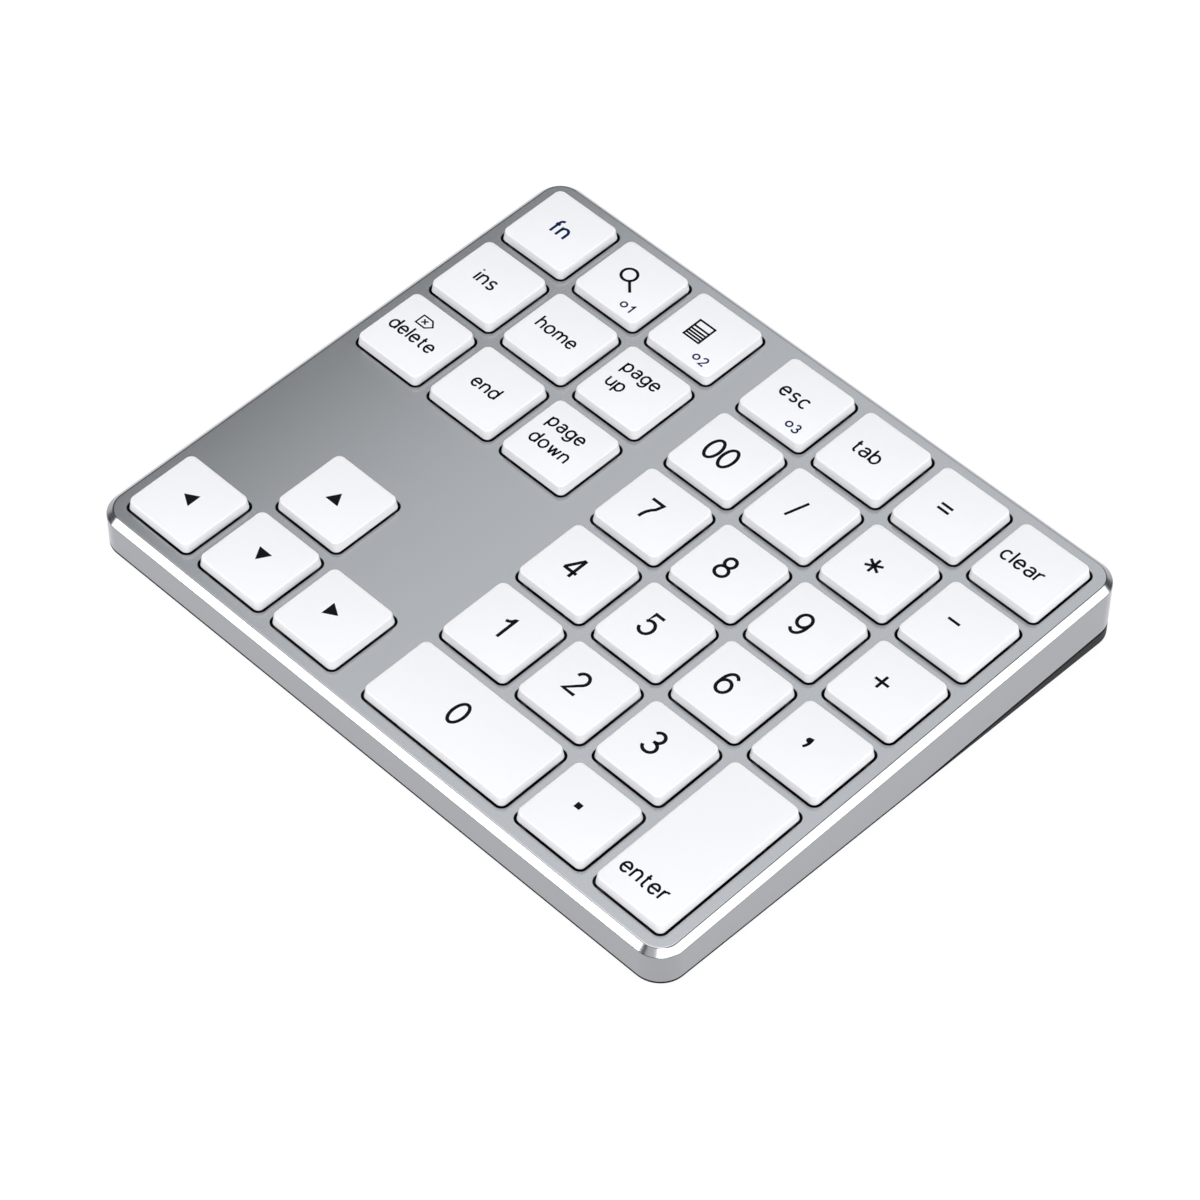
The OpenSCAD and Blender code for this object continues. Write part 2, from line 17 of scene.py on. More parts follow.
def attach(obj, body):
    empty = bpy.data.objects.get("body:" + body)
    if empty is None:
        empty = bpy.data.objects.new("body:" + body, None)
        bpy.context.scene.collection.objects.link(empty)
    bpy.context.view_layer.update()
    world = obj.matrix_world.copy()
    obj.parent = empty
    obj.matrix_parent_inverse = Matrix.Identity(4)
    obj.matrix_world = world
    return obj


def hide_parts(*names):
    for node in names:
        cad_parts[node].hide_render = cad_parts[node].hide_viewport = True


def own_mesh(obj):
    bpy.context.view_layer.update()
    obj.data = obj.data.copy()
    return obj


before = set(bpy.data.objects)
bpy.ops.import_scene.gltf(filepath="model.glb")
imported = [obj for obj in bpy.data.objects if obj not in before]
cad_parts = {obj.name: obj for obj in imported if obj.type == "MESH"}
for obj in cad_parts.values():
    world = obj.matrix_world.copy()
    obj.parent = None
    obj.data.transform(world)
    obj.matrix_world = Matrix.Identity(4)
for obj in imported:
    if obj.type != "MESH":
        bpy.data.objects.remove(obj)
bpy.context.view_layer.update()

bl_info = {
    "name": "Low numeric keypad",
    "version": (1, 0, 0),
    "blender": (4, 5, 0),
    "location": "3D View > Sidebar > Keypad",
    "description": "Builds a low numeric keypad with an aluminium shell and scissor keys",
    "category": "Add Mesh",
}

# The rows of keys from the back to the front; a dot is a place where no key begins
LAYOUT = (
    "fn search calculator esc tab equals clear",
    "insert home page_up double_zero divide multiply minus",
    "delete end page_down 7 8 9 plus",
    ". . . 4 5 6 comma",
    ". up . 1 2 3 enter",
    "left down right 0 . point .",
)
# Columns wide and rows deep of the keys that take two places
LONG_KEYS = {"0": (2, 1), "enter": (1, 2)}
# Each key: name, column from the left, row from the back, columns wide, rows deep
KEYS = tuple(
    (name, column, row, *LONG_KEYS.get(name, (1, 1)))
    for row, names in enumerate(LAYOUT)
    for column, name in enumerate(names.split())
    if name != "."
)
COLUMNS = 7
ROWS = 6
SPLIT_COLUMN = 3
BLANK_TILES = ((0, 3), (1, 3), (2, 3), (0, 4), (2, 4))
# How far the keycaps' tops stay inside the CAD model's box
BOX_CLEAR = 0.00003
# The least radius of a rounded rectangle's corners
SMALLEST_CORNER = 0.00005
# Points closer than this are one point
MERGE_DISTANCE = 2e-7

# What is printed on each key: the sign or word, its middle across, its foot, its ink
WORD, SMALL, LARGE = "word", "small word", "large word"
DIGIT, MARK, SIGN = "digit", "mark", "sign"
LEGENDS = {
    "fn": ((LARGE, "fn", -0.08, -1.43),),
    "search": ((SIGN, "lens", -0.83, 0.2), (MARK, "1", 4.72, -6.2), (MARK, "link", 3.02, -5.2)),
    "calculator": ((SIGN, "reckoner", -1.18, -0.2), (MARK, "2", 4.72, -6.2), (MARK, "link", 2.82, -5.2)),
    "esc": ((WORD, "esc", -0.88, -0.8), (MARK, "3", 4.72, -6.2), (MARK, "link", 2.92, -5.2)),
    "tab": ((WORD, "tab", -1.18, -1.6),),
    "equals": ((SIGN, "equals", -1.18, -0.2),),
    "clear": ((WORD, "clear", -1.48, -1.7),),
    "insert": ((WORD, "ins", -0.58, -1.4),),
    "home": ((SMALL, "home", -0.68, -1.5),),
    "page_up": ((SMALL, "page", -0.78, 1.9), (SMALL, "up", -3.03, -2.7)),
    "double_zero": ((DIGIT, "00", -0.88, -2.7),),
    "divide": ((SIGN, "slash", -1.08, -0.2),),
    "multiply": ((SIGN, "asterisk", -1.18, -0.2),),
    "minus": ((SIGN, "minus", -1.48, 0.3),),
    "delete": ((SMALL, "delete", -0.38, -1.8), (SIGN, "erase", -0.78, 3.4)),
    "end": ((SMALL, "end", -0.38, -1.3),),
    "page_down": ((SMALL, "page", -1.18, 1.7), (SMALL, "down", -0.78, -3.3)),
    "7": ((DIGIT, "7", -0.88, -2.6),),
    "8": ((DIGIT, "8", -0.68, -2.6),),
    "9": ((DIGIT, "9", -1.18, -2.6),),
    "plus": ((SIGN, "plus", -1.28, 0.2),),
    "4": ((DIGIT, "4", -0.88, -2.55),),
    "5": ((DIGIT, "5", -1.08, -2.55),),
    "6": ((DIGIT, "6", -1.38, -2.55),),
    "comma": ((SIGN, "comma", -1.48, 0),),
    "up": ((SIGN, "up", -0.38, 0.1),),
    "1": ((DIGIT, "1", -0.18, -2.1),),
    "2": ((DIGIT, "2", -0.78, -1.9),),
    "3": ((DIGIT, "3", -1.18, -1.9),),
    "enter": ((WORD, "enter", -0.93, -13.4),),
    "left": ((SIGN, "left", -0.28, 0.4),),
    "down": ((SIGN, "down", -0.18, 0.3),),
    "right": ((SIGN, "right", -0.48, 0.4),),
    "0": ((DIGIT, "0", -1.38, -2.3),),
    "point": ((SIGN, "point", -0.88, 0.6),),
}


def length(name, description, default):
    """A property that holds a length."""
    return FloatProperty(
        name=name, description=description, default=default, min=0, unit="LENGTH", precision=5
    )


def rotation(name, description, degrees):
    """A property that holds an angle."""
    return FloatProperty(
        name=name, description=description, default=math.radians(degrees), unit="ROTATION"
    )


def glow(name, source, default):
    """A property that holds the brightness of a light."""
    return FloatProperty(name=name, description=f"Brightness of {source}", default=default)


def tint(name, description, default):
    """A property that holds a colour."""
    return FloatVectorProperty(
        name=name, description=description, default=default, size=3, min=0, max=1, subtype="COLOR"
    )


class ShellSizes(PropertyGroup):
    """Sizes of the shell and of the grid that the keys sit in."""
    pitch: length("Key pitch", "Distance from one key's middle to the next", 0.019)
    block_gap: length("Block gap", "Extra space between the editing and the number keys", 0.0045)
    opening: length("Key opening", "Width of the opening that a key sits in", 0.017)
    opening_radius: length("Opening corner", "Corner radius of a key opening", 0.0017)
    opening_bevel: length("Opening bevel", "Eased edge round a key opening", 0.00006)
    margin: length("Deck margin", "Deck between the outer key openings and the wall", 0.0038)
    corner_radius: length("Body corner", "Corner radius of the body from above", 0.0055)
    chamfer: length("Chamfer", "Bright chamfer round the deck", 0.0013)
    deck_thickness: length("Deck thickness", "Thickness of the deck", 0.0012)
    wall_thickness: length("Wall thickness", "Thickness of the shell's walls", 0.0016)
    rim_depth: length("Rim depth", "Depth of the shell's rim below the deck", 0.0117)
    rim_bevel: length("Rim bevel", "Bevel round the shell's lower rim", 0.00045)
    front_height: length("Front height", "Height of the body at its front", 0.0084)
    foot_height: length("Foot height", "Height of the feet under the floor", 0.0008)
    foot_recess: length("Foot recess", "Depth of a foot's seat in the floor", 0.0005)
    foot_width: length("Foot width", "Diameter of a foot", 0.009)
    edge_round: length("Edge rounding", "Rounding where two faces of the shell meet", 0.00009)
    rim_clear: length("Rim clearance", "Height of the rim over the flat underside at the front", 0.00035)
    tilt: rotation("Slope", "Slope of the deck", 3)


class KeySizes(PropertyGroup):
    """Sizes of the keycaps, their print and what is under them."""
    width: length("Keycap width", "Width of a keycap at its foot", 0.016)
    radius: length("Keycap corner", "Corner radius of a keycap", 0.0012)
    rise: length("Keycap rise", "Height of a keycap's top over the deck", 0.0021)
    skirt: length("Skirt", "Depth that a keycap reaches below the deck", 0.0001)
    top_thickness: length("Top thickness", "Thickness of a keycap's top", 0.0012)
    side_thickness: length("Side thickness", "Thickness of a keycap's side", 0.0011)
    draft: length("Draft", "How far a keycap's side leans in over its height", 0.00015)
    fillet: length("Fillet", "Rounding along a keycap's upper edge", 0.00026)
    top_softening: length("Top corner", "What a keycap's corner gains in radius at its top", 0.00035)
    word_height: length("Word height", "Height of a small letter", 0.00216)
    digit_height: length("Digit height", "Height of a large digit", 0.0049)
    mark_height: length("Mark height", "Height of a small blue digit", 0.002)
    word_stroke: length("Word stroke", "Stroke width of the words", 0.00046)
    digit_stroke: length("Digit stroke", "Stroke width of the large digits", 0.00066)
    print_height: length("Print height", "Height that the ink stands over the keycap", 0.00001)
    membrane_depth: length("Membrane depth", "Depth of the membrane below the deck", 0.0027)
    lift_length: length("Lift length", "Length of a scissor frame", 0.0098)
    lift_width: length("Lift width", "Width of the outer scissor frame", 0.011)
    lift_bar: length("Lift bar", "Bar width of a scissor frame", 0.0009)


class Finishes(PropertyGroup):
    """Colours of the materials."""
    aluminium: tint("Aluminium", "Anodised aluminium of the shell", (0.350, 0.354, 0.372))
    keycap: tint("Keycap", "White plastic of the keycaps", (0.845, 0.845, 0.868))
    ink: tint("Ink", "Ink of the legends", (0.006, 0.006, 0.008))
    blue_ink: tint("Blue ink", "Ink of the blue legends", (0.006, 0.016, 0.085))
    cover: tint("Cover", "Black plastic of the base cover", (0.010, 0.010, 0.011))
    rubber: tint("Rubber", "Rubber of the feet", (0.022, 0.022, 0.024))
    floor: tint("Floor", "Floor that the keypad stands on", (0.90, 0.90, 0.90))


class StageSettings(PropertyGroup):
    """The camera and the strength of the lights."""
    azimuth: rotation("Azimuth", "Camera's turn round the keypad", 41.9255)
    elevation: rotation("Elevation", "Camera's angle over the floor", 48.3939)
    roll: rotation("Roll", "Camera's roll", 3.553)
    distance: length("Distance", "Distance from the camera to its aim", 0.82696)
    aim: FloatVectorProperty(
        name="Aim", description="Point that the camera looks at", default=(0.00905, -0.0114, 0.01232),
        subtype="TRANSLATION", precision=5,
    )
    focal: FloatProperty(
        name="Focal length", description="Camera's focal length in millimetres", default=139.48
    )
    sky: glow("Room light", "the room", 0.13)
    ceiling: glow("Ceiling light", "the light that the deck mirrors", 0.98)
    top: glow("Top light", "the light overhead", 1.3)
    edge: glow("Edge lights", "the lights that the chamfer mirrors", 3.0)
    fill: glow("Fill light", "the light on the keys' sides", 5.7)
    dim: glow("Dim light", "the light that the front right corner mirrors", 0.8)
    floor_glow: glow("Floor glow", "the floor's own light", 0.92)


# ---- places ----

def shell_sizes():
    return bpy.context.scene.keypad_shell


def key_sizes():
    return bpy.context.scene.keypad_keys


def finishes():
    return bpy.context.scene.keypad_finishes


def body_half():
    """Half of the body's width and depth."""
    s = shell_sizes()
    across = (COLUMNS - 1) * s.pitch + s.block_gap
    along = (ROWS - 1) * s.pitch
    return np.array((across, along)) / 2 + s.opening / 2 + s.margin


def column_x(column):
    s = shell_sizes()
    split = s.block_gap if column >= SPLIT_COLUMN else 0
    return column * s.pitch + split - ((COLUMNS - 1) * s.pitch + s.block_gap) / 2


def row_y(row):
    return ((ROWS - 1) / 2 - row) * shell_sizes().pitch


def key_place(key):
    """Middle of a key on the deck, and how much longer it is than a square key."""
    _, column, row, wide, deep = key
    middle = np.array((
        (column_x(column) + column_x(column + wide - 1)) / 2,
        (row_y(row) + row_y(row + deep - 1)) / 2,
    ))
    return middle, np.array((wide - 1, deep - 1)) * shell_sizes().pitch


def body_depth(y):
    """Depth of the flat underside below the deck at a distance y along the deck."""
    s = shell_sizes()
    return s.front_height + (y + body_half()[1]) * math.tan(s.tilt)


def rim_level(y):
    """Depth of the shell's lower rim: its full depth, or less where the wedge is thin."""
    s = shell_sizes()
    return np.minimum(s.rim_depth, body_depth(y) - s.rim_clear / math.cos(s.tilt))


def deck_origin():
    """Place of the deck's middle in the shared frame."""
    s = shell_sizes()
    rear = body_depth(body_half()[1])
    return np.array((
        0,
        -(s.chamfer + rear) * math.sin(s.tilt) / 2,
        s.foot_height + body_depth(0) * math.cos(s.tilt),
    ))


def deck_axes():
    """Directions of the deck's X, Y and Z, as the rows of a matrix."""
    c, s = math.cos(shell_sizes().tilt), math.sin(shell_sizes().tilt)
    return np.array(((1, 0, 0), (0, c, s), (0, -s, c)))


def on_deck(points):
    """Points given on the deck, turned by its slope and moved to its place."""
    return points @ deck_axes() + deck_origin()


# ---- surfaces ----

def skin(rings, around=True, along=False, ends=False):
    """A surface through rings of points, given as rings x points x 3. Each face joins two
    neighbours on one ring to the same two on the next. `around` closes every ring, `along`
    joins the last ring to the first, and `ends` fills the first and the last ring."""
    count, size = rings.shape[:2]
    index = np.arange(count * size).reshape(count, size)
    first, last = index[0].tolist(), index[-1].tolist()
    if along:
        index = np.vstack((index, index[:1]))
    if around:
        index = np.hstack((index, index[:, :1]))
    quads = np.stack((index[:-1, :-1], index[:-1, 1:], index[1:, 1:], index[1:, :-1]), -1)
    faces = quads.reshape(-1, 4).tolist()
    if ends:
        faces += [first[::-1], last]
    return rings.reshape(-1, 3), faces


def moved(part, middle):
    """A part of a piece, moved by the two or three numbers of middle."""
    points, faces = part
    shift = np.zeros(3)
    shift[:len(middle)] = middle
    return points + shift, faces


def turned(part):
    """A part after a quarter turn about the vertical."""
    points, faces = part
    return points[:, (1, 0, 2)] * (-1, 1, 1), faces


def rounded_outline(half, radius, steps=8):
    """Points round a rectangle with round corners: each corner is a quarter circle about
    the point that lies `radius` in from both sides."""
    turns = np.linspace(0, math.pi / 2, steps + 1)
    angles = (turns + np.arange(4)[:, None] * math.pi / 2).ravel()
    signs = np.repeat(((1, 1), (-1, 1), (-1, -1), (1, -1)), steps + 1, axis=0)
    directions = np.column_stack((np.cos(angles), np.sin(angles)))
    return signs * (np.asarray(half) - radius) + radius * directions


def rounded_rings(half, radius, profile, steps=8):
    """Rings of a body with a rounded rectangle for its plan: each row of the profile gives
    how far the ring lies inside the plan, its height, and what its corners gain in radius."""
    rings = []
    for inset, z, *gain in profile:
        corner = max(radius - inset + sum(gain), SMALLEST_CORNER)
        outline = rounded_outline(np.asarray(half) - inset, corner, steps)
        rings.append(np.column_stack((outline, np.full(len(outline), z))))
    return np.array(rings)


def lathe(profile, steps=24):
    """Rings of a turned part: each row of the profile gives a radius and a height, and the
    ring is the circle of that radius."""
    profile = np.asarray(profile, float)
    angle = np.linspace(0, 2 * math.pi, steps, endpoint=False)
    x = profile[:, :1] * np.cos(angle)
    y = profile[:, :1] * np.sin(angle)
    return np.stack((x, y, np.broadcast_to(profile[:, 1:], x.shape)), -1)


def quarter(middle, radius, start, end, steps=4):
    """Points on an arc of a profile, from one angle to the other in degrees."""
    angle = np.radians(np.linspace(start, end, steps + 1))
    return np.stack((middle[0] + radius * np.cos(angle), middle[1] + radius * np.sin(angle)), -1)


def new_object(name, points, faces):
    """An object in the scene with a new mesh."""
    mesh = bpy.data.meshes.new(name)
    mesh.from_pydata(points, [], faces)
    thing = bpy.data.objects.new(name, mesh)
    bpy.context.scene.collection.objects.link(thing)
    return thing


def turn_faces_outwards(mesh, merge=0.0):
    """Merges points that share a place, where asked, and turns all faces outwards."""
    work = bmesh.new()
    work.from_mesh(mesh)
    if merge:
        bmesh.ops.remove_doubles(work, verts=work.verts, dist=merge)
    bmesh.ops.recalc_face_normals(work, faces=work.faces)
    work.to_mesh(mesh)
    work.free()


def make_piece(name, parts, material, body, sloping=True, crease=32):
    """Joins parts into one closed mesh and smooths all edges under the crease angle. The
    piece rides on its body."""
    points, faces, offset = [], [], 0
    for part_points, part_faces in parts:
        points.append(part_points)
        faces += [[i + offset for i in face] for face in part_faces]
        offset += len(part_points)
    points = np.vstack(points)
    piece = new_object(name, on_deck(points) if sloping else points, faces)
    turn_faces_outwards(piece.data, MERGE_DISTANCE)
    piece.data.shade_smooth()
    piece.data.set_sharp_from_angle(angle=math.radians(crease))
    piece.data.materials.append(material)
    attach(piece, body)
    return piece


# ---- materials ----

class Value:
    """A number or colour that varies over a surface. Arithmetic on it adds Math nodes."""

    def __init__(self, finish, socket):
        self.finish = finish
        self.socket = socket

    def math(self, operation, first, second):
        return self.finish.node("ShaderNodeMath", {"operation": operation}, {0: first, 1: second})

    def __add__(self, other):
        return self.math("ADD", self, other)

    def __mul__(self, other):
        return self.math("MULTIPLY", self, other)


class Finish:
    """One material under construction."""

    def __init__(self, name):
        self.material = bpy.data.materials.new(name)
        self.material.use_nodes = True
        self.tree = self.material.node_tree
        self.surface = self.tree.nodes["Principled BSDF"]

    def node(self, kind, settings=None, inputs=None, output=0):
        """Adds a node: its settings first, then the numbers or links of its sockets."""
        new = self.tree.nodes.new(kind)
        for key, value in (settings or {}).items():
            setattr(new, key, value)
        for key, value in (inputs or {}).items():
            self.feed(new.inputs[key], value)
        return Value(self, new.outputs[output])

    def feed(self, socket, value):
        if isinstance(value, Value):
            self.tree.links.new(value.socket, socket)
        else:
            socket.default_value = value

    def made(self, **inputs):
        """The material, with sockets of its surface shader set: their names have underscores
        for spaces."""
        for key, value in inputs.items():
            self.feed(self.surface.inputs[key.replace("_", " ")], value)
        return self.material

    def noise(self, scale, detail=2.0, stretch=None):
        """Noise between 0 and 1 on the piece's own place, with `scale` cells to a metre."""
        place = self.node("ShaderNodeTexCoord", output="Object")
        if stretch:
            place = self.node("ShaderNodeMapping", None, {"Vector": place, "Scale": stretch})
        return self.node("ShaderNodeTexNoise", None, {"Vector": place, "Scale": scale, "Detail": detail})

    def blend(self, amount, first, second):
        """Colour that goes from the first to the second as amount goes from 0 to 1."""
        colours = {0: amount, 6: (*first, 1), 7: (*second, 1)}
        return self.node("ShaderNodeMix", {"data_type": "RGBA"}, colours, output=2)

    def mottled(self, amount, colour, low, high):
        """Colour that goes from one shade of itself to another."""
        return self.blend(amount, shade(colour, low), shade(colour, high))

    def bump(self, height, strength, distance):
        inputs = {"Height": height, "Strength": strength, "Distance": distance}
        return self.node("ShaderNodeBump", None, inputs)


def shade(colour, factor):
    return tuple(min(channel * factor, 1) for channel in colour)


def bead_blasted_metal(name, colour, roughness):
    """Anodised metal: a fine blasted grain, and broad faint patches where the dye took
    a little differently."""
    finish = Finish(name)
    grain = finish.noise(7000, 3)
    patches = finish.noise(35, 2)
    return finish.made(
        Base_Color=finish.mottled(grain * 0.6 + patches * 0.4, colour, 0.955, 1.045),
        Metallic=1.0,
        Roughness=grain * 0.05 + patches * 0.03 + (roughness - 0.04),
        Normal=finish.bump(grain, 0.10, 0.00002),
    )


def moulded_plastic(name, colour, roughness, grain_scale=9000, depth=0.00002, strength=0.15, gloss=0.5):
    """Plastic from a spark-eroded mould: a fine matt grain with slightly uneven gloss."""
    finish = Finish(name)
    grain = finish.noise(grain_scale, 2)
    flow = finish.noise(60, 3)
    return finish.made(
        Base_Color=finish.mottled(flow * 0.5 + grain * 0.5, colour, 0.98, 1.02),
        Roughness=grain * 0.06 + flow * 0.05 + (roughness - 0.055),
        Specular_IOR_Level=gloss,
        Normal=finish.bump(grain, strength, depth),
    )


def drawn_steel(name, colour, roughness, stretch=(1, 12, 1)):
    """Rolled or drawn steel: streaks along the rolling direction, and a bright plating."""
    finish = Finish(name)
    streaks = finish.noise(900, 4, stretch)
    return finish.made(
        Base_Color=finish.mottled(streaks, colour, 0.85, 1.1),
        Metallic=1.0,
        Roughness=streaks * 0.14 + (roughness - 0.07),
        Normal=finish.bump(streaks, 0.12, 0.00002),
    )


def printed_ink(name, colour):
    """Screen-printed ink: satin, with a slightly grainy film."""
    finish = Finish(name)
    film = finish.noise(16000, 2)
    return finish.made(
        Base_Color=finish.mottled(film, colour, 0.8, 1.3),
        Roughness=film * 0.15 + 0.5,
        Specular_IOR_Level=0.03,
        Normal=finish.bump(film, 0.2, 0.000004),
    )


def clear_lens(name, colour):
    """Milky clear plastic of the light pipe."""
    finish = Finish(name)
    haze = finish.noise(1800, 3)
    return finish.made(
        Base_Color=finish.mottled(haze, colour, 0.9, 1.05),
        Roughness=haze * 0.12 + 0.12,
        IOR=1.49,
        Transmission_Weight=0.35,
        Subsurface_Weight=0.2,
        Subsurface_Scale=0.0005,
    )


def board_laminate(name, mask_colour, copper_colour):
    """Green solder mask over copper tracks: thin bands of a stretched noise."""
    finish = Finish(name)
    tracks = finish.noise(260, 1, (1, 0.18, 1))
    band = finish.node("ShaderNodeMapRange", None, {0: tracks, 1: 0.50, 2: 0.53})
    weave = finish.noise(3000, 2)
    return finish.made(
        Base_Color=finish.blend(band * 0.5, mask_colour, copper_colour),
        Roughness=weave * 0.1 + 0.3,
        Normal=finish.bump(band + weave * 0.3, 0.2, 0.00003),
    )


def pouch_foil(name, colour):
    """Laminated foil of the cell: soft creases under a bright film."""
    finish = Finish(name)
    creases = finish.noise(180, 4)
    return finish.made(
        Base_Color=finish.mottled(creases, colour, 0.85, 1.08),
        Metallic=0.8,
        Roughness=creases * 0.2 + 0.22,
        Normal=finish.bump(creases, 0.5, 0.0002),
    )


def conductive_film(name, colour, track_colour):
    """Clear film with printed silver tracks."""
    finish = Finish(name)
    tracks = finish.noise(220, 1, (0.25, 1, 1))
    band = finish.node("ShaderNodeMapRange", None, {0: tracks, 1: 0.52, 2: 0.55})
    return finish.made(
        Base_Color=finish.blend(band, colour, track_colour),
        Roughness=band * 0.2 + 0.25,
        Normal=finish.bump(band, 0.1, 0.00002),
    )


def open_foam(name, colour):
    """Foam tape: open cells over the whole face."""
    finish = Finish(name)
    place = finish.node("ShaderNodeTexCoord", output="Object")
    cells = finish.node("ShaderNodeTexVoronoi", None, {"Vector": place, "Scale": 2500.0}, output="Distance")
    return finish.made(
        Base_Color=finish.mottled(cells, colour, 0.6, 1.3),
        Roughness=cells * 0.1 + 0.85,
        Normal=finish.bump(cells, 0.6, 0.0001),
    )


# ---- shell ----

def tile_steps(extra=0.0):
    """Places of the points along one side of a tile: close together where the corner of the
    opening turns, and the same from either side. A long tile repeats them for each pitch."""
    s = shell_sizes()
    straight = s.opening / 2 - s.opening_radius
    close = np.linspace(straight, s.pitch / 2, 9)
    one = np.concatenate((-close[::-1], (-straight / 2, 0, straight / 2), close))
    if extra:
        one = np.concatenate((one - extra / 2, one[1:] + extra / 2))
    return one


def rim_of(xs, ys):
    """Points round a rectangle, with the given places along its sides."""
    return np.vstack((
        np.column_stack((xs[:-1], np.full(len(xs) - 1, ys[0]))),
        np.column_stack((np.full(len(ys) - 1, xs[-1]), ys[:-1])),
        np.column_stack((xs[:0:-1], np.full(len(xs) - 1, ys[-1]))),
        np.column_stack((np.full(len(ys) - 1, xs[0]), ys[:0:-1])),
    ))


def matched_outline(points, outer, half, radius):
    """The point of a rounded rectangle that goes with each point round a square one: straight
    sides project square on, and what lies beyond them turns evenly round the corner, 45
    degrees for each half of it."""
    straight = half - radius
    size = np.abs(points)
    beyond = np.clip((size - straight) / (outer - straight), 0, 1)
    angle = (1 + beyond[:, 0] - beyond[:, 1]) * math.pi / 4
    corner = radius * np.column_stack((np.sin(angle), np.cos(angle)))
    return np.sign(points) * (np.minimum(size, straight) + corner)


def at_height(outline, z):
    return np.column_stack((outline, np.broadcast_to(z, len(outline))))


def key_tile(key):
    """One key's tile of the deck: from its square border in to the opening, over a rounded
    edge, down through the deck, and back out to the border on the underside."""
    s = shell_sizes()
    middle, extra = key_place(key)
    border = rim_of(tile_steps(extra[0]), tile_steps(extra[1]))
    outer = (s.pitch + extra) / 2
    half = (s.opening + extra) / 2
    bevel, edge, support = s.opening_bevel, 0.00001, 0.0002
    rings = [at_height(border, 0)]
    profile = (
        (bevel + support, 0), (bevel + edge, 0), (bevel - edge, -edge), (edge, edge - bevel),
        (0, -bevel - edge), (0, -bevel - support), (0, -s.deck_thickness),
    )
    for grow, z in profile:
        outline = matched_outline(border, outer, half + grow, s.opening_radius + grow)
        rings.append(at_height(outline, z))
    rings.append(at_height(border, -s.deck_thickness))
    return moved(skin(np.array(rings)), middle)


def grid_lines():
    """Places across and along the deck of the points of all tiles."""
    columns = [column_x(column) + tile_steps() for column in range(COLUMNS)]
    rows = [row_y(row) + tile_steps() for row in reversed(range(ROWS))]
    return [np.unique(np.round(np.concatenate(places), 7)) for places in (columns, rows)]


def flat_tile(xs, ys):
    """Upper and lower face of a stretch of deck without an opening."""
    parts = []
    for z in (0, -shell_sizes().deck_thickness):
        x, y = np.meshgrid(xs, ys)
        parts.append(skin(np.stack((x, y, np.full_like(x, z)), -1), around=False))
    return parts


def shell_side():
    """The rest of the shell: one profile carried round the rounded body, from the tiles out
    over the deck's edge, the chamfer, the wall, the lower rim, up the inside of the wall and
    back under the deck. The rim follows the deck down to its full depth, or stops at the
    flat underside where the wedge is thinner."""
    s = shell_sizes()
    half = body_half()
    xs, ys = grid_lines()
    border = rim_of(xs, ys)
    outer = np.array((xs[-1], ys[-1]))
    e, c, t = s.edge_round, s.chamfer, s.wall_thickness

    def outline(inset):
        return matched_outline(border, outer, half - inset, s.corner_radius - inset)

    rings = [at_height(border, 0)]
    bend = e * 0.4
    profile = (
        (c + 3 * e, 0), (c + e, 0), (c + bend, -bend * 0.4), (c - bend * 0.6, -bend), (c - e, -e),
        (c - 2 * e, -2 * e), (2 * e, 2 * e - c), (e, e - c), (bend, bend * 0.6 - c),
        (bend * 0.4, -bend - c), (0, -e - c), (0, -3 * e - c),
    )
    for inset, z in profile:
        rings.append(at_height(outline(inset), z))
    wall, inner = outline(0), outline(t)
    thin = s.rim_depth - s.rim_bevel
    bevel = np.clip(body_depth(wall[:, 1]) - s.rim_clear - thin, 0.00015, s.rim_bevel)
    rings.append(at_height(wall, bevel - rim_level(wall[:, 1])))
    foot = wall + (inner - wall) * (bevel / t)[:, None]
    rings.append(at_height(foot, -rim_level(foot[:, 1])))
    rings.append(at_height(inner, -rim_level(inner[:, 1])))
    rings.append(at_height(inner, -s.deck_thickness))
    rings.append(at_height(border, -s.deck_thickness))
    return skin(np.array(rings))


def screw_boss(place):
    """Tube on the deck's underside that a screw of the key module bites into."""
    top, foot = 0.0001 - shell_sizes().deck_thickness, -0.003
    profile = ((0.0006, foot), (0.0017, foot), (0.0017, top), (0.0006, top))
    return moved(skin(lathe(profile), along=True), place)


def wall_cutter(name, outline, x, z):
    """Closed bar through the rear wall: an outline drawn in the wall's plane, carried
    along Y."""
    rear = body_half()[1]
    rings = []
    for y in (rear - 0.003, rear + 0.002):
        rings.append(np.column_stack((outline[:, 0] + x, np.full(len(outline), y), outline[:, 1] + z)))
    points, faces = skin(np.array(rings), ends=True)
    cutter = new_object(name, on_deck(points), faces)
    turn_faces_outwards(cutter.data)
    return cutter


SOCKET_X, SOCKET_Z, SOCKET_HALF = -0.024, -0.007, (0.00447, 0.0016)
SWITCH_X, SWITCH_Z = 0.015, -0.0071
LIGHT_X = -0.006


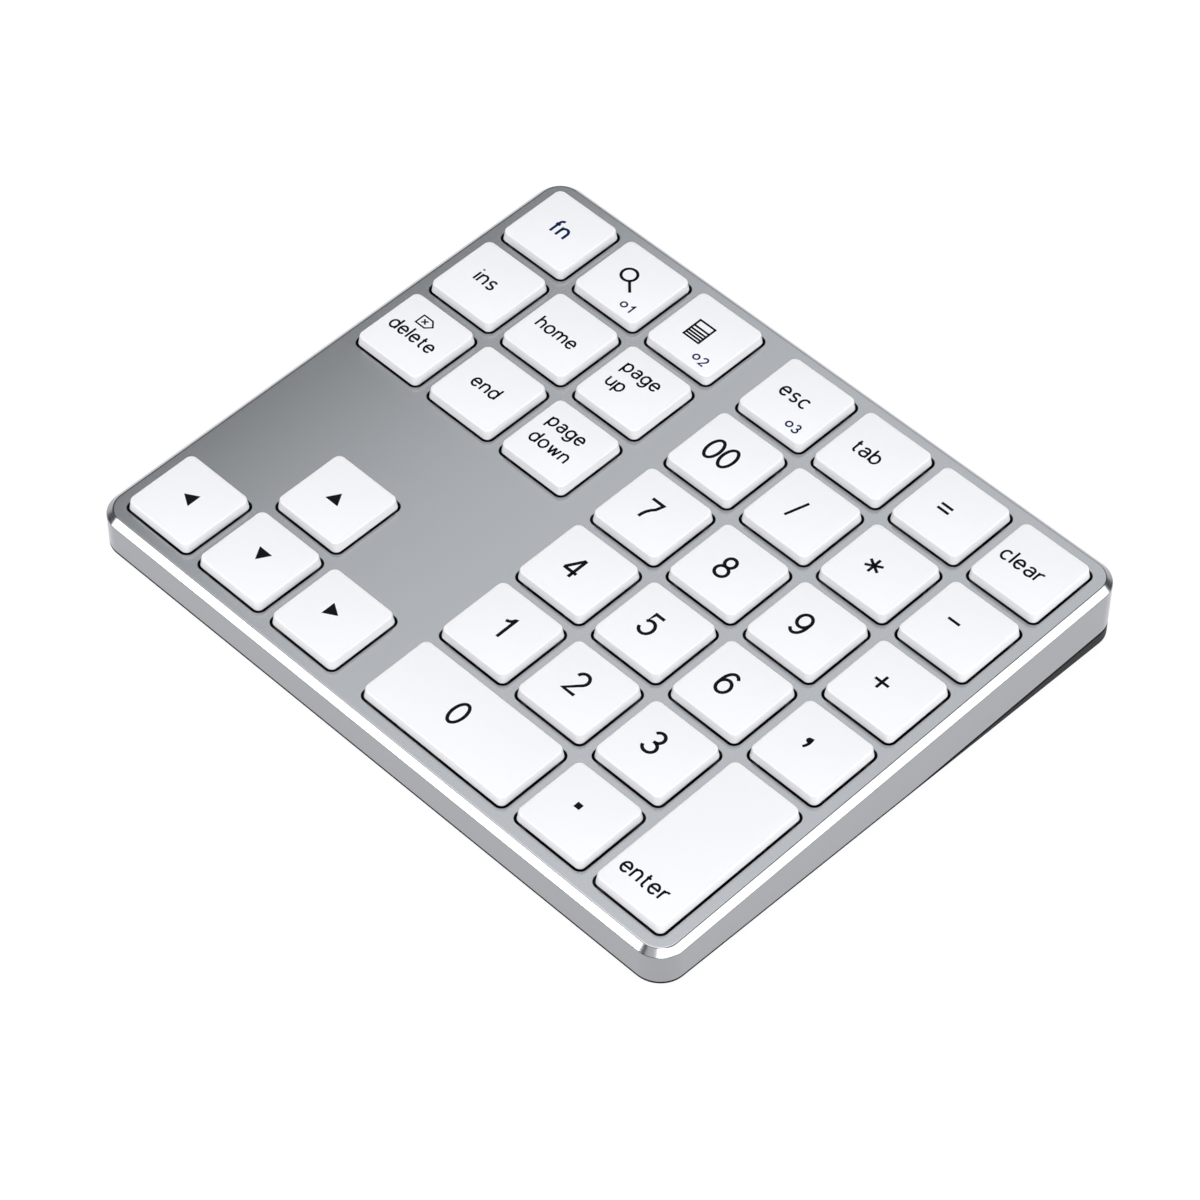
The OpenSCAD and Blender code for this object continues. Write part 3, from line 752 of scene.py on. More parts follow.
def cut_rear_openings(shell):
    """Cuts the socket's, the switch's and the light's openings, and applies the cuts."""
    socket = rounded_outline(np.array(SOCKET_HALF) + 0.0002, SOCKET_HALF[1] + 0.00019, 12)
    switch = rounded_outline((0.0026, 0.00115), 0.0006, 6)
    light = rounded_outline((0.00095, 0.00095), 0.00094, 8)
    cutters = (
        wall_cutter("socket_cut", socket, SOCKET_X, SOCKET_Z),
        wall_cutter("switch_cut", switch, SWITCH_X, SWITCH_Z),
        wall_cutter("light_cut", light, LIGHT_X, SWITCH_Z),
    )
    for cutter in cutters:
        cut = shell.modifiers.new(cutter.name, "BOOLEAN")
        cut.operation = "DIFFERENCE"
        cut.solver = "EXACT"
        cut.object = cutter
    bpy.context.view_layer.update()
    cut_shell = shell.evaluated_get(bpy.context.evaluated_depsgraph_get())
    result = bpy.data.meshes.new_from_object(cut_shell)
    shell.modifiers.clear()
    shell.data = result
    for cutter in cutters:
        bpy.data.objects.remove(cutter)


class KEYPAD_OT_top_shell(Operator):
    """Adds the aluminium shell with its key openings, chamfer and rear openings"""
    bl_idname = "keypad.top_shell"
    bl_label = "Aluminium shell"

    def execute(self, context):
        s = shell_sizes()
        parts = [key_tile(key) for key in KEYS]
        for column, row in BLANK_TILES:
            parts += flat_tile(column_x(column) + tile_steps(), row_y(row) + tile_steps())
        left = column_x(SPLIT_COLUMN - 1) + s.pitch / 2
        right = column_x(SPLIT_COLUMN) - s.pitch / 2
        parts += flat_tile(np.array((left, right)), grid_lines()[1])
        parts.append(shell_side())
        bosses = [((left + right) / 2, row_y(row)) for row in (0.5, 1.5, 2.5, 3.5, 4.5)]
        bosses += [(column_x(column), row_y(row)) for column in (0, 2) for row in (3, 4)]
        parts += [screw_boss(place) for place in bosses]
        metal = bead_blasted_metal("Anodised aluminium", finishes().aluminium, 0.20)
        shell = make_piece("shell", parts, metal, "case", crease=20)
        cut_rear_openings(shell)
        shell.data.set_sharp_from_angle(angle=math.radians(20))
        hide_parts("top_shell")
        return {"FINISHED"}


# ---- keycaps ----

def cap_profile():
    """Half section of a keycap from the middle of its ceiling, down inside the side, round
    the foot, up the leaning outside and over the fillet to the top."""
    k = key_sizes()
    foot, top, ceiling = -k.skirt, k.rise - BOX_CLEAR, k.rise - k.top_thickness
    inner_fillet, ease = 0.0003, 0.00008
    fillet = quarter((k.draft + k.fillet, top - k.fillet), k.fillet, 180, 90, 5)
    inside = quarter((k.side_thickness + inner_fillet, ceiling - inner_fillet), inner_fillet, 90, 180, 3)
    foot_rows = ((k.side_thickness, foot), (ease, foot), (0, foot + ease))
    profile = np.vstack((inside, foot_rows, fillet))
    gain = np.zeros(len(profile))
    gain[-len(fillet):] = k.top_softening
    return np.column_stack((profile, gain))


def guide_tabs():
    """Four small blocks under the ceiling that hold the ends of the scissor frames."""
    k = key_sizes()
    top = k.rise - k.top_thickness + 0.0001
    parts = []
    for x in (-0.0027, 0.0027):
        for y in (-0.0033, 0.0033):
            profile = ((0.00005, 0.00035), (0, 0.0004), (0, top))
            rings = rounded_rings((0.0005, 0.00022), 0.0001, profile, 2)
            parts.append(moved(skin(rings, ends=True), (x, y)))
    return parts


# How far a lug is from the middle of a long keycap
LUG_X = 0.01405


def wire_lugs():
    """Two slotted lugs of a long keycap, as a fork with a round-ended slot between its
    prongs, one each end of the stabiliser wire."""
    k = key_sizes()
    ceiling = k.rise - k.top_thickness + 0.0001
    slot_radius, slot_length, slot_z = 0.00052, 0.0006, 0.0001
    middle, half_long, half_high, half_thick = slot_length / 2, 0.0016, 0.0007, 0.0005
    slot = np.vstack((
        quarter((slot_length, slot_z), slot_radius, -90, 90, 6),
        quarter((0, slot_z), slot_radius, 90, 270, 6),
    ))
    angle = np.arctan2(slot[:, 1] - slot_z, slot[:, 0] - middle)
    reach = 1 / np.maximum(np.abs(np.cos(angle)) / half_long, np.abs(np.sin(angle)) / half_high)
    frame_line = np.column_stack((middle + reach * np.cos(angle), slot_z + reach * np.sin(angle)))
    parts = []
    for x in (-LUG_X, LUG_X):
        rings = [
            np.column_stack((np.full(len(outline), x + side * half_thick), outline))
            for outline, side in ((slot, -1), (frame_line, -1), (frame_line, 1), (slot, 1))
        ]
        parts.append(skin(np.array(rings), along=True))
        stem = rounded_rings((half_thick, 0.0014), 0.00005, ((0, half_high), (0, ceiling)), 1)
        parts.append(moved(skin(stem, ends=True), (x, middle)))
    return parts


def key_parts(key):
    k = key_sizes()
    middle, extra = key_place(key)
    half = (k.width + extra) / 2
    rings = rounded_rings(half, k.radius, cap_profile())
    fittings = guide_tabs()
    if extra.any():
        fittings += wire_lugs()
    if extra[1] > 0:
        fittings = [turned(part) for part in fittings]
    return [moved(part, middle) for part in [skin(rings, ends=True)] + fittings]


class KEYPAD_OT_keycaps(Operator):
    """Adds the thirty-five keycaps, hollow, with a filleted top and guide tabs"""
    bl_idname = "keypad.keycaps"
    bl_label = "Keycaps"

    def execute(self, context):
        plastic = moulded_plastic("Keycap plastic", finishes().keycap, 0.46, 9000, 0.000012, 0.12)
        for key in KEYS:
            node = "key_" + key[0]
            cap = make_piece("cap_" + key[0], key_parts(key), plastic, node)
            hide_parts(node)
        return {"FINISHED"}


# ---- legends ----

def arc(x, y, across, up, start, end):
    """Points on an ellipse about (x, y), from one angle to the other in degrees."""
    steps = max(int(abs(end - start) / 12), 3)
    angle = np.radians(np.linspace(start, end, steps + 1))
    return np.column_stack((x + across * np.cos(angle), y + up * np.sin(angle)))


def path(*pieces):
    """One stroke through points and arcs."""
    return np.vstack([np.atleast_2d(np.asarray(piece, float)) for piece in pieces])


def ring(x, y, across, up):
    return arc(x, y, across, up, 0, 360)


def line(*points):
    return path(*points)


def arch(x, width):
    """Shoulder of an n, from its stem at x down to its right foot."""
    return path((x, 0.55), arc(x + width / 2, 0.60, width / 2, 0.40, 180, 0), (x + width, 0))


BOWL = ring(0.40, 0.5, 0.40, 0.5)
STEM = line((0, 1), (0, 0))
# Small letters, with the height of an x as 1: width, then strokes. A stroke ends where it
# would turn sharply, and the next one starts there.
LETTERS = {
    "a": (0.74, (
        path(arc(0.39, 0.70, 0.33, 0.30, 155, 0), (0.72, 0)),
        path((0.72, 0.57), arc(0.36, 0.29, 0.34, 0.29, 95, 270), arc(0.42, 0.32, 0.30, 0.32, 275, 350)),
    )),
    "b": (0.80, (line((0, 1.46), (0, 0)), BOWL)),
    "c": (0.72, (arc(0.40, 0.5, 0.40, 0.5, 48, 312),)),
    "d": (0.80, (line((0.80, 1.46), (0.80, 0)), BOWL)),
    "e": (0.80, (path((0.02, 0.54), (0.79, 0.54), arc(0.40, 0.5, 0.40, 0.5, 8, 322)),)),
    "f": (0.44, (path(arc(0.46, 1.17, 0.26, 0.29, 80, 180), (0.20, 0)), line((0, 0.97), (0.42, 0.97)))),
    "g": (0.80, (path((0.80, 1.0), (0.80, 0.0), arc(0.40, -0.06, 0.40, 0.36, 0, -155)),
                 ring(0.40, 0.52, 0.40, 0.48))),
    "h": (0.72, (line((0, 1.46), (0, 0)), arch(0, 0.72))),
    "i": (0.0, (STEM, line((0, 1.30), (0, 1.46)))),
    "l": (0.0, (line((0, 1.46), (0, 0)),)),
    "m": (1.24, (STEM, arch(0, 0.62), arch(0.62, 0.62))),
    "n": (0.72, (STEM, arch(0, 0.72))),
    "o": (0.84, (ring(0.42, 0.5, 0.42, 0.5),)),
    "p": (0.80, (line((0, 1), (0, -0.42)), BOWL)),
    "r": (0.44, (STEM, path((0, 0.55), arc(0.38, 0.58, 0.38, 0.42, 180, 72)))),
    "s": (0.66, (path(arc(0.33, 0.745, 0.29, 0.255, 35, 235), arc(0.33, 0.255, 0.31, 0.255, 60, -145)),)),
    "t": (0.42, (
        path((0.17, 1.32), (0.17, 0.25), arc(0.39, 0.24, 0.22, 0.24, 180, 285)),
        line((0, 0.97), (0.42, 0.97)),
    )),
    "u": (0.72, (
        path((0, 1), arc(0.36, 0.40, 0.36, 0.40, 180, 360), (0.72, 0.45)),
        line((0.72, 1), (0.72, 0)),
    )),
    "w": (1.10, (
        line((0, 1), (0.28, 0)), line((0.28, 0), (0.55, 0.97)),
        line((0.55, 0.97), (0.82, 0)), line((0.82, 0), (1.10, 1)),
    )),
}
# Digits, with their height as 1
DIGITS = {
    "0": (0.54, (ring(0.27, 0.5, 0.27, 0.5),)),
    "1": (0.30, (path((0, 0.76), arc(0.0, 1.06, 0.28, 0.28, 285, 345), (0.30, 1.0), (0.30, 0)),)),
    "2": (0.56, (path(arc(0.28, 0.72, 0.26, 0.28, 172, -38), (0.0, 0.0), (0.56, 0.0)),)),
    "3": (0.54, (path(arc(0.25, 0.76, 0.23, 0.24, 160, -90), (0.20, 0.52)),
                 path((0.20, 0.52), arc(0.26, 0.26, 0.28, 0.26, 95, -165)))),
    "4": (0.60, (
        line((0.44, 0), (0.44, 1.0)), line((0.42, 0.99), (0.0, 0.27)), line((-0.03, 0.27), (0.60, 0.27)),
    )),
    "5": (0.55, (path((0.52, 1.0), (0.11, 1.0), (0.05, 0.52), arc(0.27, 0.33, 0.28, 0.33, 140, -160)),)),
    "6": (0.55, (ring(0.28, 0.32, 0.27, 0.32), path(arc(0.30, 0.52, 0.29, 0.48, 45, 180), (0.01, 0.30)))),
    "7": (0.56, (path((0.0, 1.0), (0.56, 1.0), arc(0.95, 0.02, 0.75, 0.86, 130, 180)),)),
    "8": (0.54, (ring(0.27, 0.76, 0.22, 0.24), ring(0.27, 0.26, 0.27, 0.26))),
    "9": (0.55, (ring(0.27, 0.68, 0.27, 0.32), path(arc(0.25, 0.48, 0.29, 0.48, 225, 360), (0.54, 0.70)))),
}


def spokes(count, reach):
    """Strokes out from the middle at even angles, the first one upwards."""
    angles = math.pi / 2 + np.arange(count) * 2 * math.pi / count
    return tuple(line((0, 0), (reach * math.cos(a), reach * math.sin(a))) for a in angles)


def box_path(left, low, right, high):
    return line((left, low), (right, low), (right, high), (left, high), (left, low))


# Signs in millimetres about their middle: stroke width, strokes, and filled shapes
SIGNS = {
    "lens": (0.58, (ring(-0.75, 0.75, 1.6, 1.6), line((0.40, -0.40), (2.5, -2.5))), ()),
    "reckoner": (0.44, (
        box_path(-1.9, -2.3, 1.9, 2.3), *(line((-1.9, y), (1.9, y)) for y in (0.62, -0.25, -0.95, -1.62)),
    ), ()),
    "equals": (0.58, (line((-1.35, 0.62), (1.35, 0.62)), line((-1.35, -0.62), (1.35, -0.62))), ()),
    "slash": (0.58, (line((-0.75, -2.5), (0.75, 2.5)),), ()),
    "asterisk": (0.58, spokes(6, 1.75), ()),
    "minus": (0.58, (line((-1.35, 0), (1.35, 0)),), ()),
    "plus": (0.58, (line((-1.6, 0), (1.6, 0)), line((0, -1.6), (0, 1.6))), ()),
    "link": (0.36, (ring(0, 0, 0.62, 0.62),), ()),
    "comma": (0.58, (path(arc(-0.45, 0.55, 0.85, 1.7, 35, -62)),), (ring(0.0, 0.85, 0.62, 0.62),)),
    "erase": (0.34, (
        line((-1.7, -1.15), (0.6, -1.15), (1.7, 0), (0.6, 1.15), (-1.7, 1.15), (-1.7, -1.15)),
        line((-0.9, -0.5), (0.1, 0.5)), line((-0.9, 0.5), (0.1, -0.5)),
    ), ()),
    "up": (0, (), (line((-1.6, -1.3), (1.6, -1.3), (0, 1.4)),)),
    "down": (0, (), (line((-1.6, 1.3), (0, -1.4), (1.6, 1.3)),)),
    "left": (0, (), (line((-1.4, 0), (1.3, -1.6), (1.3, 1.6)),)),
    "right": (0, (), (line((1.4, 0), (-1.3, 1.6), (-1.3, -1.6)),)),
    "point": (0, (), (line((-0.64, -0.64), (0.64, -0.64), (0.64, 0.64), (-0.64, 0.64)),)),
}


# Where two normals agree less than this, the mitre grows no longer
LEAST_AGREEMENT = 0.45


def stroke_part(points, width, low, high):
    """A flat bar carried along a stroke: at each point its section stands on the mitre, the
    sum of the two neighbouring normals divided by how much they agree."""
    points = points[np.append(True, np.hypot(*np.diff(points, axis=0).T) > 1e-7)]
    closed = np.allclose(points[0], points[-1], atol=1e-8)
    if closed:
        points = points[:-1]
        steps = np.roll(points, -1, 0) - points
    else:
        steps = np.diff(points, axis=0)
        steps = np.vstack((steps, steps[-1:]))
    steps = steps / np.linalg.norm(steps, axis=1)[:, None]
    normals = np.column_stack((-steps[:, 1], steps[:, 0]))
    before = np.roll(normals, 1, 0)
    if not closed:
        before[0] = normals[0]
    mitre = normals + before
    mitre = mitre / np.maximum((mitre * normals).sum(1), LEAST_AGREEMENT)[:, None]
    left, right = points + mitre * width / 2, points - mitre * width / 2
    corners = ((left, high), (left, low), (right, low), (right, high))
    rings = np.stack([at_height(side, z) for side, z in corners], 1)
    return skin(rings, along=closed, ends=not closed)


def filled_part(outline, low, high):
    """A flat filled shape: its outline at two heights, filled at both."""
    if np.allclose(outline[0], outline[-1]):
        outline = outline[:-1]
    return skin(np.array((at_height(outline, low), at_height(outline, high))), ends=True)


def written(text, glyphs, height, spacing):
    """Strokes of a line of text on a foot line at zero, centred across."""
    strokes, x = [], 0.0
    for letter in text:
        width, parts = glyphs[letter]
        strokes += [(part + (x, 0)) * height for part in parts]
        x += width + spacing
    shift = (x - spacing) * height / 2
    return [stroke - (shift, 0) for stroke in strokes]


def legend_parts(kind, text, x, y, middle, low, high):
    k = key_sizes()
    place = middle + np.array((x, y)) / 1000
    if kind in (SIGN, MARK) and text in SIGNS:
        width, strokes, fills = SIGNS[text]
        parts = [stroke_part(stroke / 1000 + place, width / 1000, low, high) for stroke in strokes]
        return parts + [filled_part(fill / 1000 + place, low, high) for fill in fills]
    glyphs, height, spacing, width = {
        WORD: (LETTERS, k.word_height, 0.36, k.word_stroke),
        SMALL: (LETTERS, k.word_height * 0.91, 0.36, k.word_stroke * 0.95),
        LARGE: (LETTERS, k.word_height * 1.12, 0.36, k.word_stroke * 1.25),
        DIGIT: (DIGITS, k.digit_height, 0.17, k.digit_stroke),
        MARK: (DIGITS, k.mark_height, 0.2, k.word_stroke * 0.8),
    }[kind]
    strokes = written(text, glyphs, height, spacing)
    return [stroke_part(stroke + place, width, low, high) for stroke in strokes]


class KEYPAD_OT_legends(Operator):
    """Prints each keycap's sign or word on its top, as a thin film of ink"""
    bl_idname = "keypad.legends"
    bl_label = "Printed legends"

    def execute(self, context):
        k = key_sizes()
        inks = {
            "legend_ink": printed_ink("Legend ink", finishes().ink),
            "legend_ink_blue": printed_ink("Blue legend ink", finishes().blue_ink),
        }
        top = k.rise - BOX_CLEAR
        low, high = top - 0.00002, top + k.print_height
        for key in KEYS:
            middle = key_place(key)[0]
            for slot, ink in inks.items():
                blue = slot == "legend_ink_blue"
                parts = []
                for kind, text, x, y in LEGENDS[key[0]]:
                    if blue == (kind in (MARK, LARGE)):
                        parts += legend_parts(kind, text, x, y, middle, low, high)
                if parts:
                    name = ("blue_print_" if blue else "print_") + key[0]
                    make_piece(name, parts, ink, "key_" + key[0])
        return {"FINISHED"}


# ---- key mechanism ----

def dome_rings():
    """Rubber dome: a turned section from the foot flange up the cone and the nub, and
    back down inside, with every edge eased."""
    k = key_sizes()
    foot = (
        (2.40, 0.0), (3.15, 0.0), (3.25, 0.10), (3.25, 0.28), (3.15, 0.38), (2.95, 0.44), (2.80, 0.62),
    )
    nub = (
        (2.20, -1.35), (2.10, -1.10), (2.10, -0.12), (1.98, 0.0), (1.20, 0.0), (1.08, -0.10), (0.02, -0.10),
        (0.02, -0.80), (1.60, -0.80), (1.60, -1.40),
    )
    profile = np.vstack((foot, nub)) / 1000
    profile[len(foot):, 1] += k.membrane_depth + k.rise - k.top_thickness - 0.0001
    rings = lathe(profile, 20)
    rings[:, :, 2] -= k.membrane_depth
    return rings


def lift_frame(width, tilt, height):
    """One scissor frame: a square bar with eased edges carried round a rounded rectangle,
    leaning about its own pivot line."""
    k = key_sizes()
    bar, ease = k.lift_bar / 2, 0.0001
    half = np.array((width, k.lift_length)) / 2
    section = (
        (0, ease - bar), (ease, -bar), (2 * bar - ease, -bar), (2 * bar, ease - bar),
        (2 * bar, bar - ease), (2 * bar - ease, bar), (ease, bar), (0, bar - ease),
    )
    rings = rounded_rings(half, 0.0011, section, 3)
    c, s = math.cos(tilt), math.sin(tilt)
    turn = np.array(((1, 0, 0), (0, c, s), (0, -s, c)))
    points, faces = skin(rings, along=True)
    return points @ turn + (0, 0, height), faces


class KEYPAD_OT_key_lifts(Operator):
    """Adds a rubber dome and a pair of scissor frames under each keycap"""
    bl_idname = "keypad.key_lifts"
    bl_label = "Domes and scissor frames"

    def execute(self, context):
        k = key_sizes()
        rubber = moulded_plastic("Dome rubber", (0.62, 0.64, 0.60), 0.55, 5000)
        outer = moulded_plastic("Scissor plastic", (0.80, 0.80, 0.76), 0.42)
        inner = moulded_plastic("Inner scissor plastic", (0.74, 0.75, 0.71), 0.42)
        axes, origin = deck_axes(), deck_origin()
        inner_width = k.lift_width - 2 * k.lift_bar - 0.0004
        low, high = 0.0006 - k.membrane_depth, k.rise - k.top_thickness - 0.0006
        lean, height = math.asin((high - low) / (k.lift_length - k.lift_bar)), (low + high) / 2
        dome = skin(dome_rings(), along=True)
        outer_frame = lift_frame(k.lift_width, lean, height)
        inner_frame = lift_frame(inner_width, -lean, height)
        for key in KEYS:
            middle, extra = key_place(key)
            kinds = (
                ("dome", dome, rubber, "dome_rubber", "rubber_domes"),
                ("outer_lift", outer_frame, outer, "scissor_plastic", "outer_scissor_frames"),
                ("inner_lift", inner_frame, inner, "scissor_plastic", "inner_scissor_frames"),
            )
            for kind, part, material, slot, node in kinds:
                if extra[1] > 0:
                    part = turned(part)
                piece = make_piece(kind + "_" + key[0], [moved(part, middle)], material, "case")
                "press_" + key[0]
                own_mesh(piece)
                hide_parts(node)
        return {"FINISHED"}


# ---- feet and rear fittings ----

def foot_rings(height):
    """Rubber foot: a turned section with a domed underside and a shallow ring groove."""
    radius, tip = shell_sizes().foot_width / 2, 0.00002
    profile = np.vstack((
        ((tip, 0), (0.0026, 0), (0.00268, 0.00012), (0.00292, 0.00012), (0.003, 0)),
        quarter((radius - 0.0003, 0.0003), 0.0003, -90, 0, 4),
        ((radius, height), (tip, height)),
    ))
    return lathe(profile, 48)


class KEYPAD_OT_feet(Operator):
    """Adds the four rubber feet"""
    bl_idname = "keypad.feet"
    bl_label = "Rubber feet"

    def execute(self, context):
        s = shell_sizes()
        rubber = moulded_plastic("Foot rubber", finishes().rubber, 0.78, 4000, 0.00004, 0.3)
        half = body_half() - 0.011
        rings = foot_rings(s.foot_height + s.foot_recess)
        parts = [
            moved(skin(rings, ends=True), (x * half[0], y * half[1]))
            for x in (-1, 1) for y in (-1, 1)
        ]
        feet = make_piece("feet", parts, rubber, "case", sloping=False)
        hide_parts("rubber_feet")
        return {"FINISHED"}


def into_rear_wall(points, x, y, z):
    """Points of a part that stands upright, laid down so that its foot is at the wall."""
    return np.column_stack((points[:, 0] + x, y - points[:, 2], points[:, 1] + z))


class KEYPAD_OT_rear_fittings(Operator):
    """Adds the charging socket's rolled shell and the indicator's lens"""
    bl_idname = "keypad.rear_fittings"
    bl_label = "Socket and indicator"

    def execute(self, context):
        rear = body_half()[1]
        steel = drawn_steel("Socket steel", (0.62, 0.63, 0.64), 0.28, (1, 6, 1))
        lip = (
            (0.0003, 0.0071), (0.0003, 0.0003), (0.00024, 0.00009), (0.00015, 0.0), (0.00006, 0.00009),
            (0, 0.0003), (0, 0.0074), (0.0003, 0.0074),
        )
        rings = rounded_rings(SOCKET_HALF, SOCKET_HALF[1] - 0.00001, lip, 10)
        points, faces = skin(rings, along=True)
        points = into_rear_wall(points, SOCKET_X, rear - 0.0003, SOCKET_Z)
        socket = make_piece("socket", [(points, faces)], steel, "case", crease=40)
        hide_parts("usb_socket_shell")
        clear = clear_lens("Clear plastic", (0.80, 0.85, 0.88))
        lens = np.array((
            (0.01, 0.0), (0.35, 0.02), (0.60, 0.09), (0.75, 0.22), (0.80, 0.40),
            (0.80, 3.0), (1.20, 3.0), (1.20, 4.2), (0.01, 4.2),
        )) / 1000
        points, faces = skin(lathe(lens, 24), ends=True)
        points = into_rear_wall(points, LIGHT_X, rear - 0.0001, SWITCH_Z)
        pipe = make_piece("indicator", [(points, faces)], clear, "case", crease=40)
        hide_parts("indicator_light_pipe")
        return {"FINISHED"}


# ---- parts that keep their CAD shape ----

class KEYPAD_OT_fitted_parts(Operator):
    """Gives every part that keeps its CAD shape its finish"""
    bl_idname = "keypad.fitted_parts"
    bl_label = "Finishes of the fitted parts"

    def execute(self, context):
        plated = drawn_steel("Plated steel", (0.50, 0.52, 0.54), 0.34)
        screws = drawn_steel("Screw steel", (0.10, 0.10, 0.11), 0.42, (1, 1, 1))
        wire = drawn_steel("Spring wire", (0.52, 0.53, 0.54), 0.26, (0.2, 1, 1))
        chips = moulded_plastic("Chip plastic", (0.016, 0.016, 0.018), 0.5, 6000)
        cover = moulded_plastic("Cover plastic", finishes().cover, 0.55, 5000, 0.00004, 0.35, gloss=0.15)
        kept = {
            "bottom_cover": cover,
            "base_plate": plated,
            # Painted shade: the membrane sheet is a real part, but its near-black colour stands in for the
            # shade down in the gaps round the keycaps.
            "membrane_sheet": conductive_film("Membrane film in painted shade", (0.012, 0.012, 0.013), (0.05, 0.05, 0.05)),
            "zero_key_stabiliser": wire,
            "enter_key_stabiliser": wire,
            "module_screws": screws,
            "board_screws": screws,
            "case_screws": screws,
            "circuit_board": board_laminate("Board laminate", (0.010, 0.11, 0.035), (0.03, 0.22, 0.07)),
            "board_chips": chips,
            "usb_socket_tongue": chips,
            "power_switch_case": chips,
            "power_switch_knob": cover,
            "battery_cell": pouch_foil("Cell foil", (0.60, 0.61, 0.63)),
            "battery_pad": open_foam("Foam tape", (0.06, 0.06, 0.065)),
            "battery_lead": moulded_plastic("Lead insulation", (0.42, 0.03, 0.02), 0.4, 4000),
            "membrane_tail": conductive_film("Tail film", (0.62, 0.40, 0.10), (0.45, 0.45, 0.44)),
        }
        for node, material in kept.items():
            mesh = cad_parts[node].data
            mesh.materials.clear()
            mesh.materials.append(material)
        return {"FINISHED"}


# ---- stage ----

def facing(direction):
    """Turns an object's -Z towards a direction."""
    return Vector(direction).to_track_quat("-Z", "Y").to_matrix().to_4x4()


def softbox(name, place, target, size, brightness, colour=(1, 1, 1)):
    """Area light that looks the given brightness from in front, whatever its size."""
    light = bpy.data.lights.new(name, "AREA")
    light.color = colour
    light.shape = "RECTANGLE"
    light.size, light.size_y = size
    light.energy = brightness * size[0] * size[1] * 4
    lamp = bpy.data.objects.new(name, light)
    bpy.context.scene.collection.objects.link(lamp)
    lamp.matrix_world = Matrix.Translation(place) @ facing(Vector(target) - Vector(place))
    lamp.visible_camera = False


def camera_axes(azimuth, elevation, roll):
    """Right, up and back of a camera at an angle round and over its aim, then rolled."""
    back = Vector((
        math.sin(azimuth) * math.cos(elevation),
        -math.cos(azimuth) * math.cos(elevation),
        math.sin(elevation),
    ))
    level = Vector((math.cos(azimuth), math.sin(azimuth), 0))
    over = back.cross(level)
    right = math.cos(roll) * level + math.sin(roll) * over
    up = math.cos(roll) * over - math.sin(roll) * level
    return right, up, back


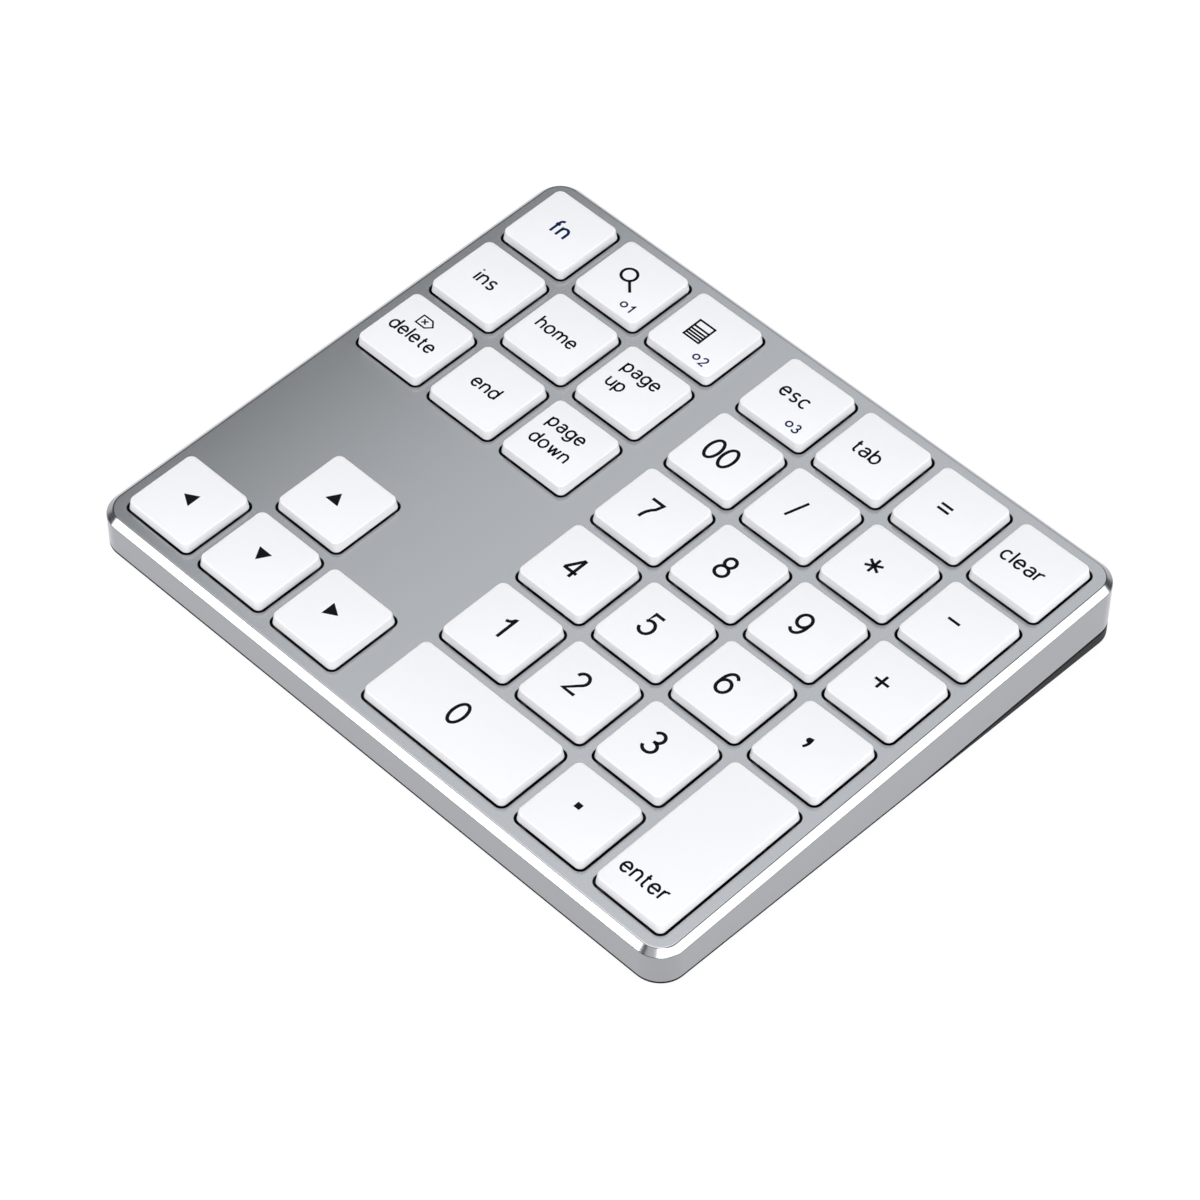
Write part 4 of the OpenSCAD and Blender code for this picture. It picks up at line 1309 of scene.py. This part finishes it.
class KEYPAD_OT_stage(Operator):
    """Adds the floor, the room light, the softboxes and the camera"""
    bl_idname = "keypad.stage"
    bl_label = "Stage"

    def execute(self, context):
        scene = context.scene
        stage = scene.keypad_stage
        self.add_floor(stage)
        self.add_room(scene, stage)
        corner = (0.07, -0.06, 0.01)
        softboxes = (
            (
                "ceiling_light", (-0.315, 0.50, 0.81), (-0.315, 0.50, 0), (0.55, 0.80), stage.ceiling,
                (0.96, 1, 1),
            ),
            ("top_light", (-0.20, -0.10, 1.00), (0, 0, 0), (0.85, 0.70), stage.top),
            ("front_light", (-0.57, -0.94, 0.46), (0, -0.06, 0.01), (0.54, 0.50), stage.edge * 1.5),
            ("right_light", (1.01, 0.46, 0.47), (0.07, 0, 0.01), (1.10, 0.50), stage.edge),
            ("corner_light", (1.00, -0.30, 0.60), corner, (0.50, 0.30), stage.edge),
            ("dim_light", (0.38, -1.01, 0.72), corner, (0.85, 0.50), stage.dim),
            ("fill_light", (2.16, -1.86, 2.00), (0, 0, 0.01), (1.30, 1.60), stage.fill),
        )
        for settings in softboxes:
            softbox(*settings)
        self.add_camera(scene, stage)
        scene.view_settings.view_transform = "Standard"
        return {"FINISHED"}

    def add_floor(self, stage):
        finish = Finish("Floor")
        speckle = finish.noise(400, 3)
        colour = tuple(finishes().floor)
        material = finish.made(
            Base_Color=finish.mottled(speckle, colour, 0.13, 0.15),
            Roughness=0.9,
            Specular_IOR_Level=0.1,
            Emission_Color=(0.985, 0.985, 1.0, 1),
            Emission_Strength=stage.floor_glow,
        )
        grid = np.linspace(-3, 3, 7)
        x, y = np.meshgrid(grid, grid)
        points, faces = skin(np.stack((x, y, np.zeros_like(x)), -1), around=False)
        floor = new_object("floor", points, faces)
        floor.data.materials.append(material)

    def add_room(self, scene, stage):
        world = bpy.data.worlds.new("Room")
        scene.world = world
        world.use_nodes = True
        background = world.node_tree.nodes["Background"]
        background.inputs["Color"].default_value = (0.97, 0.985, 1.0, 1)
        background.inputs["Strength"].default_value = stage.sky

    def add_camera(self, scene, stage):
        camera = bpy.data.cameras.new("camera")
        camera.lens = stage.focal
        camera.sensor_width = 36
        view = bpy.data.objects.new("camera", camera)
        scene.collection.objects.link(view)
        right, up, back = camera_axes(stage.azimuth, stage.elevation, stage.roll)
        turn = Matrix((right, up, back)).transposed().to_4x4()
        place = Vector(stage.aim) + back * stage.distance
        view.matrix_world = Matrix.Translation(place) @ turn
        scene.camera = view


class KEYPAD_PT_panel(Panel):
    """Sizes, colours and steps of the keypad"""
    bl_idname = "KEYPAD_PT_panel"
    bl_label = "Low numeric keypad"
    bl_space_type = "VIEW_3D"
    bl_region_type = "UI"
    bl_category = "Keypad"

    def draw(self, context):
        scene = context.scene
        for group in (scene.keypad_shell, scene.keypad_keys, scene.keypad_finishes, scene.keypad_stage):
            box = self.layout.box()
            for name in group.__annotations__:
                box.prop(group, name)
        for step in STEPS:
            self.layout.operator(step.bl_idname)


STEPS = (
    KEYPAD_OT_top_shell, KEYPAD_OT_keycaps, KEYPAD_OT_legends, KEYPAD_OT_key_lifts, KEYPAD_OT_feet,
    KEYPAD_OT_rear_fittings, KEYPAD_OT_fitted_parts, KEYPAD_OT_stage,
)
GROUPS = {
    "keypad_shell": ShellSizes,
    "keypad_keys": KeySizes,
    "keypad_finishes": Finishes,
    "keypad_stage": StageSettings,
}


CLASSES = (*GROUPS.values(), *STEPS, KEYPAD_PT_panel)


def register():
    for each in CLASSES:
        bpy.utils.register_class(each)
    for name, group in GROUPS.items():
        setattr(bpy.types.Scene, name, PointerProperty(type=group))


def unregister():
    for name in GROUPS:
        delattr(bpy.types.Scene, name)
    for each in reversed(CLASSES):
        bpy.utils.unregister_class(each)


def main():
    register()
    bpy.ops.keypad.top_shell()
    bpy.ops.keypad.keycaps()
    bpy.ops.keypad.legends()
    bpy.ops.keypad.key_lifts()
    bpy.ops.keypad.feet()
    bpy.ops.keypad.rear_fittings()
    bpy.ops.keypad.fitted_parts()
    bpy.ops.keypad.stage()


if __name__ == "__main__":
    main()
